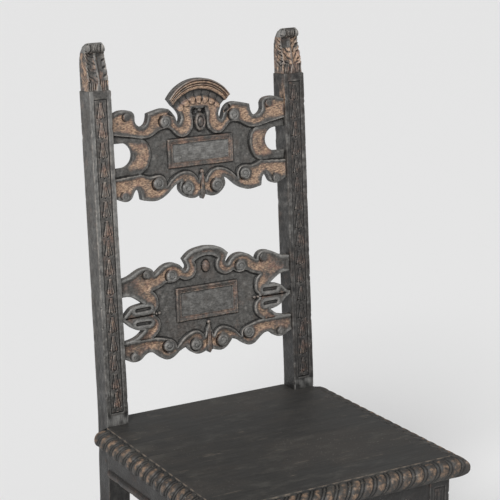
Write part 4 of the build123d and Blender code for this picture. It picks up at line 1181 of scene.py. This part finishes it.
def front_leg(name, side, seed):
    width = (leg_high[0] - leg_low[0]) - 2 * foot_flare
    centre_x = side * (leg_low[0] + leg_high[0]) / 2
    centre_y = (leg_low[1] + leg_high[1]) / 2
    rise = np.concatenate([
        [0, 1, 4, 10, 16, 21, 22.8, 24.4, 25.8, 26.4, 27.4, 29, 33, 40, 47],
        np.arange(51, seat_underside - 8, 1.0), [seat_underside - 4, seat_underside]])
    half = np.where(rise < 23, width / 2 + foot_flare,
                    np.where(rise < 26, width / 2 + foot_flare - (rise - 23), width / 2))
    half[0] -= 0.8
    stations = [((centre_x, centre_y, z), (1, 0, 0), (0, -1, 0)) for z in rise]
    up = rise[:, None]

    def carve(face, x, y):
        depth = hewn(up, x + 2 * y, seed)
        into = np.minimum(LEG_PANEL_HALF - np.abs(x), np.minimum(
            up - LEG_PANEL_FOOT, seat_underside - LEG_PANEL_HEAD - up))
        on_front = face == 0
        panel = -0.9 * ramp(into, -0.2, 0.8) - 1.0 * hump(into - 0.5, 1.0)
        flute = -1.1 * hump(np.abs(x) - 4.5, 3.4) * ramp(into, 4, 8)
        depth = depth + on_front * (panel + flute)
        worn = PLAIN_WEAR + 0.14 * ripple(up, x + 2 * y, 110, seed + 5)
        worn = worn + 0.25 * on_front * ramp(into, 1, 4)
        depth = chipped(depth, x, y, half[:, None], half[:, None], up, seed, (5, 400), 10)
        # Painted light: raised carving is lighter and hollows darker, and painted shade darkens the
        # whole leg below the seat
        relief_shading = depth - blurred(depth + 0 * x, 4)
        return depth, worn, np.clip(relief_shading / 0.8 - SHADED, -1, 1)

    add_timber(name, timber(stations, half, half, (0.95, 4.5), 1.3, carve), wood_up_shaded)


front_leg("front_leg_left", -1, 81)
front_leg("front_leg_right", 1, 91)


# ---- Plain rails and stretchers, hand planed with softened edges
def plain_rail(name, start, end, out, half_width, half_depth, material, seed, carve_more=None):
    """Straight rail between two places; its broad face looks along out."""
    start, end, out = (np.array(part, float) for part in (start, end, out))
    way = end - start
    long = np.linalg.norm(way)
    across = np.cross(way / long, out)
    share = np.linspace(0, 1, int(long / 5) + 2)
    stations = [(start + way * s, across, out) for s in share]
    along = (share * long)[:, None]

    def carve(face, x, y):
        depth = hewn(along, x + 2 * y, seed)
        worn = PLAIN_WEAR + 0.14 * ripple(along, x + 2 * y, 90, seed + 5)
        depth = chipped(depth, x, y, half_width, half_depth, along, seed, (0, long), 6, 3)
        if carve_more:
            extra, extra_wear = carve_more(face, x, along)
            depth, worn = depth + extra, worn + extra_wear
        # Painted shade: the whole rail is darker below the seat
        return depth, worn, 0 * depth - SHADED

    skin = timber(stations, half_width, half_depth, (2.4, 4.5), 1.2, carve)
    add_timber(name, skin, material)


rail_middle, rail_half_height = rail_centre[2], rail_half[2]
rear_stretcher_centre, rear_stretcher_half = centre_and_half("rear_stretcher")
for name, inner, height, half, seed in (
        ("front_seat_rail", leg_inner, rail_middle, rail_half, 101),
        ("rear_seat_rail", post_inner, rail_middle, rail_half, 107),
        ("rear_stretcher", post_inner, rear_stretcher_centre[2], rear_stretcher_half, 113)):
    y = centre_and_half(name)[0][1]
    plain_rail(name, (-inner, y, height), (inner, y, height), (0, -1, 0),
               half[2], half[1], wood_low_shaded, seed)


def side_moulding(face, x, along):
    """Rounded moulding along the foot of a side rail, with a quirk above it."""
    foot = rail_half_height - np.abs(x) + 0 * along
    on_foot = (face == 0) * (x < 0)
    swell = 3.6 * np.sqrt(np.clip(1 - ((foot - 6.5) / 6.3) ** 2, 0, 1)) * on_foot
    quirk = -0.9 * hump(foot - 14.2, 1.4) * on_foot
    return swell + quirk, 0.35 * (swell > 0.5)


SIDES = ((-1, "left"), (1, "right"))
for side, word in SIDES:
    centre_x = side * (post_outer - side_rail_inset - side_rail_half)
    ends = [(centre_x, leg_back, rail_middle), (centre_x, post_front, rail_middle)]
    if side > 0:
        ends = ends[::-1]
    plain_rail("side_seat_rail_" + word, *ends, (side, 0, 0), rail_half_height, side_rail_half,
               wood_deep_shaded, 120 + side, side_moulding)
side_stretcher_centre, side_stretcher_half = centre_and_half("side_stretcher_right")
height = side_stretcher_centre[2]
rear_end = post_front + foot_kick * (1 - height / kick_height) + 1
for side, word in SIDES:
    x = side * post_centre
    plain_rail("side_stretcher_" + word, (x, leg_back, height), (x, rear_end, height),
               (side, 0, 0), side_stretcher_half[2], side_stretcher_half[0], wood_deep_shaded, 130 + side)

# ---- Seat: plank with a gadrooned edge
NOSE_RADIUS = 16.5
REACH = 24.7                   # width of the carved edge outside the flat top
SEAT_DEPTH = 397.5             # of the flat top
SEAT_OVERHANG = 0.7            # of the flat top outside the posts
SEAT_TAPER = 6.4               # the front is wider than the back by this on each side
GADROON_DEPTH = 3.6
LOBE_SHARE, DART_SHARE = 0.72, 0.28    # of the pitch, for the lobe and the dart beside it
CORNER_OUT = 2.0               # radius of a front corner, outside
CORNER_IN = 2.6                # and where the flat top begins
GADROON_PITCH = 25.0
GADROON_SLANT = 0.018          # lean, in pitches per millimetre round the nose
TONGUE_PLAY = 0.3              # from the tongue of the seat to each post
FILLET_DROP = 0.4              # step from the flat top down to the carved edge
GRID = 1.15                    # spacing of the sections of the carved edge


def seat_profile():
    """Inset from the outer face and height, from the flat top round the nose to the foot."""
    top = seat_height - 0.15
    points = [(28.5, top), (27.2, top), (26.4, top - 0.7), (25.6, top - 0.1), (24.4, top - 0.1),
              (23.9, top - 1.0)]
    points += [(inset, top - FILLET_DROP) for inset in np.arange(22.6, NOSE_RADIUS + 0.5, -1.2)]
    upper, lower = top - FILLET_DROP - NOSE_RADIUS, seat_underside + 0.2 + NOSE_RADIUS
    for centre, start, end, count in ((upper, 90, 0, 24), (lower, 0, -90, 16)):
        for angle in np.radians(np.linspace(start, end, count)):
            points.append((NOSE_RADIUS * (1 - cos(angle)), centre + NOSE_RADIUS * sin(angle)))
    return np.array(points)


def seat_ring():
    """Outer and inner plan points round the seat, and how much of the nose each has."""
    half_rear = post_outer + SEAT_OVERHANG + REACH
    half_front = half_rear + SEAT_TAPER
    rear_y = post_front
    front_y = rear_y - SEAT_DEPTH - REACH
    outer, inner, nose = [], [], []

    def place(point_out, point_in, amount=1.0):
        outer.append(np.array(point_out))
        inner.append(np.array(point_in))
        nose.append(amount)

    def run(start_out, end_out, start_in, end_in):
        ends = [np.array(point) for point in (start_out, end_out, start_in, end_in)]
        count = int(np.hypot(*(ends[1] - ends[0])) / GRID)
        for share in np.linspace(0, 1, count, endpoint=False):
            place(ends[0] * (1 - share) + ends[1] * share, ends[2] * (1 - share) + ends[3] * share)

    def corner(x, turn_x, start):
        centre_out = np.array([x - turn_x * CORNER_OUT, front_y + CORNER_OUT])
        centre_in = np.array([x - turn_x * far_in, front_y + far_in])
        for angle in np.radians(np.linspace(start, start + 90, 9, endpoint=False)):
            way = np.array([cos(angle), sin(angle)])
            place(centre_out + CORNER_OUT * way, centre_in + CORNER_IN * way)

    far_in = REACH + CORNER_IN
    run((-half_rear, rear_y), (-half_front, front_y + CORNER_OUT),
        (-half_rear + REACH, rear_y), (-half_front + REACH, front_y + far_in))
    corner(-half_front, -1, 180)
    run((-half_front + CORNER_OUT, front_y), (half_front - CORNER_OUT, front_y),
        (-half_front + far_in, front_y + REACH), (half_front - far_in, front_y + REACH))
    corner(half_front, 1, 270)
    run((half_front, front_y + CORNER_OUT), (half_rear, rear_y),
        (half_front - REACH, front_y + far_in), (half_rear - REACH, rear_y))
    # The carved edge ends square at the posts; a tongue reaches between them
    tongue = post_inner - TONGUE_PLAY
    rear = [((half_rear, rear_y), (half_rear - REACH, rear_y), 1.0)]
    for point in ((post_outer, rear_y), (tongue, rear_y), (tongue, rear_y + post_depth)):
        rear.append((point, point, 0.0))
    for point_out, point_in, amount in rear:
        place(point_out, point_in, amount)
    for point_out, point_in, amount in rear[:0:-1]:
        place(np.array(point_out) * (-1, 1), np.array(point_in) * (-1, 1), amount)
    return np.array(outer), np.array(inner), np.array(nose)


def seat_board():
    outer, inner, nose = seat_ring()
    profile = seat_profile()
    steps = run_along(profile)
    towards = (inner - outer) / REACH
    s, v = np.meshgrid(run_along(outer), steps, indexing="ij")
    inset, height = profile[:, 0][None, :], profile[:, 1][None, :]
    amount = nose[:, None]

    phase = (s / GADROON_PITCH + (v - 20) * GADROON_SLANT) % 1
    in_lobe = phase < LOBE_SHARE
    lobe = np.abs((phase - LOBE_SHARE / 2) / (LOBE_SHARE / 2))
    dart = np.clip(np.sin(pi * (phase - LOBE_SHARE) / DART_SHARE), 0, 1)
    cut = np.where(in_lobe, GADROON_DEPTH * lobe ** 2.6, GADROON_DEPTH - 2.2 * dart ** 1.4)
    begin, finish = 6.2, steps[-1]
    round_top = 3.4 * (1 - ramp(v - begin - 3.5 * np.where(in_lobe, lobe ** 2, 0.5), 0, 2.2))
    carved = ramp(v, begin - 0.6, begin + 0.4) * (1 - ramp(v, finish - 14, finish - 3))
    cut = np.maximum(cut, round_top * 0.55) * carved * amount
    cut = cut + 0.2 * amount + 0.15 * ripple(s, v, 14, 5) * carved * amount
    normal_in, normal_up = np.gradient(profile[:, 1], steps), np.gradient(profile[:, 0], steps)
    size = np.maximum(np.hypot(normal_in, normal_up), 1e-9)
    step_in, step_up = -normal_in / size, normal_up / size
    inset = np.where(amount > 0, (inset + cut * step_in[None, :]) * amount, 0)
    height = height + cut * step_up[None, :]
    plan = outer[:, None, :] + inset[..., None] * towards[:, None, :]
    verts = np.concatenate([plan, height[..., None] * np.ones(plan.shape[:2] + (1,))], 2)
    rows, columns = height.shape
    here = np.arange(rows * columns).reshape(rows, columns)
    following = np.roll(here, -1, 0)
    faces = np.stack([here[:, :-1], here[:, 1:], following[:, 1:], following[:, :-1]], 2)
    faces = faces.reshape(-1, 4).tolist()
    points = verts.reshape(-1, 3)
    top = [(int(a), int(b)) for a, b in zip(here[:, 0], following[:, 0])]
    close_back(points, faces, top)
    bottom = [(int(b), int(a)) for a, b in zip(here[:, -1], following[:, -1])]
    close_back(points, faces, bottom)
    worn = np.where(in_lobe, 0.6 - 0.45 * lobe ** 2, 0.05) * carved * amount
    worn = worn * (1.2 - 0.8 * ramp(v, finish - 30, finish - 12)) * ramp(v, 10, 17)
    # Painted light: hollows of the carved edge are darker and raised parts lighter; the fillet line
    # along the flat top is lighter from wear by rubbing and a painted highlight; painted highlights
    # where the lobes turn under; the carved edge is darker, twice as much on the left side
    relief_shading = -(cut - blurred(cut, 4)) / 1.1
    rim = 0.6 * hump(v - 4.2, 1.1)
    curl_highlight = 0.45 * hump(v - 30, 8) * in_lobe * carved
    left = (outer[:, 0] < -post_outer - REACH)[:, None]
    proud = np.clip(relief_shading + rim + curl_highlight - 0.16 * carved * (1 + left), -1, 1) * amount
    add_piece("seat_plank", points, faces, seat_wood, ["seat_board"], "seat_wood", 50,
              wear=worn.reshape(-1), proud=proud.reshape(-1))


seat_board()

# ---- CAD nodes that stay: pegs and nails
for name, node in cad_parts.items():
    if not node.hide_render:
        node.data.materials.clear()
        node.data.materials.append(nail_iron if name == "seat_nails" else peg_wood)

# ---- Floor, light and camera
FLOOR, FLOOR_LIGHT = tone(234, 234, 234), tone(236, 236, 236)
WORLD_STRENGTH = 0.42
CAMERA_PLACE = (-1.383, -2.282, 1.485)
CAMERA_TARGET = (0.0731, 0.1702, 0.7335)
FLOOR_HALF = 40.0              # in metres


def add_floor():
    mesh = bpy.data.meshes.new("floor")
    corners = [(x * FLOOR_HALF, y * FLOOR_HALF, 0) for x, y in ((-1, -1), (1, -1), (1, 1), (-1, 1))]
    mesh.from_pydata(corners, [], [(0, 1, 2, 3)])
    floor = bpy.data.objects.new("floor", mesh)
    bpy.context.scene.collection.objects.link(floor)
    make = Finish("pale_floor")
    grain = make.noise(3, EVEN, 2, 0.5)
    colour = make.parted(grain, 0.3, 0.7, FLOOR, FLOOR_LIGHT)
    rough = make.range(grain, 0.3, 0.7, 0.85, 0.95)
    mesh.materials.append(make.finish(colour, rough, grain, 0.0, 0.1))


def add_sun(name, strength, angle, azimuth, elevation):
    """Soft sun; azimuth is counted from -Y towards -X, so 45 is front left."""
    data = bpy.data.lights.new(name, "SUN")
    data.energy = strength
    data.angle = radians(angle)
    sun = bpy.data.objects.new(name, data)
    level = cos(radians(elevation))
    way = Vector((-sin(radians(azimuth)) * level, -cos(radians(azimuth)) * level,
                  sin(radians(elevation))))
    sun.rotation_euler = way.to_track_quat("Z", "Y").to_euler()
    bpy.context.scene.collection.objects.link(sun)


add_floor()
add_sun("key", 3.0, 24, 48, 36)
add_sun("fill", 0.2, 60, -50, 35)
world = bpy.data.worlds.new("studio")
world.use_nodes = True
sky = world.node_tree.nodes["Background"]
sky.inputs["Color"].default_value = FLOOR_LIGHT
sky.inputs["Strength"].default_value = WORLD_STRENGTH
bpy.context.scene.world = world

camera_data = bpy.data.cameras.new("camera")
camera_data.lens = 122.4
camera_data.sensor_width = 36
camera_data.clip_end = 100
camera = bpy.data.objects.new("camera", camera_data)
camera.location = CAMERA_PLACE
look = Vector(CAMERA_TARGET) - camera.location
camera.rotation_euler = look.to_track_quat("-Z", "Y").to_euler()
bpy.context.scene.collection.objects.link(camera)
bpy.context.scene.camera = camera
bpy.context.scene.view_settings.view_transform = "Standard"
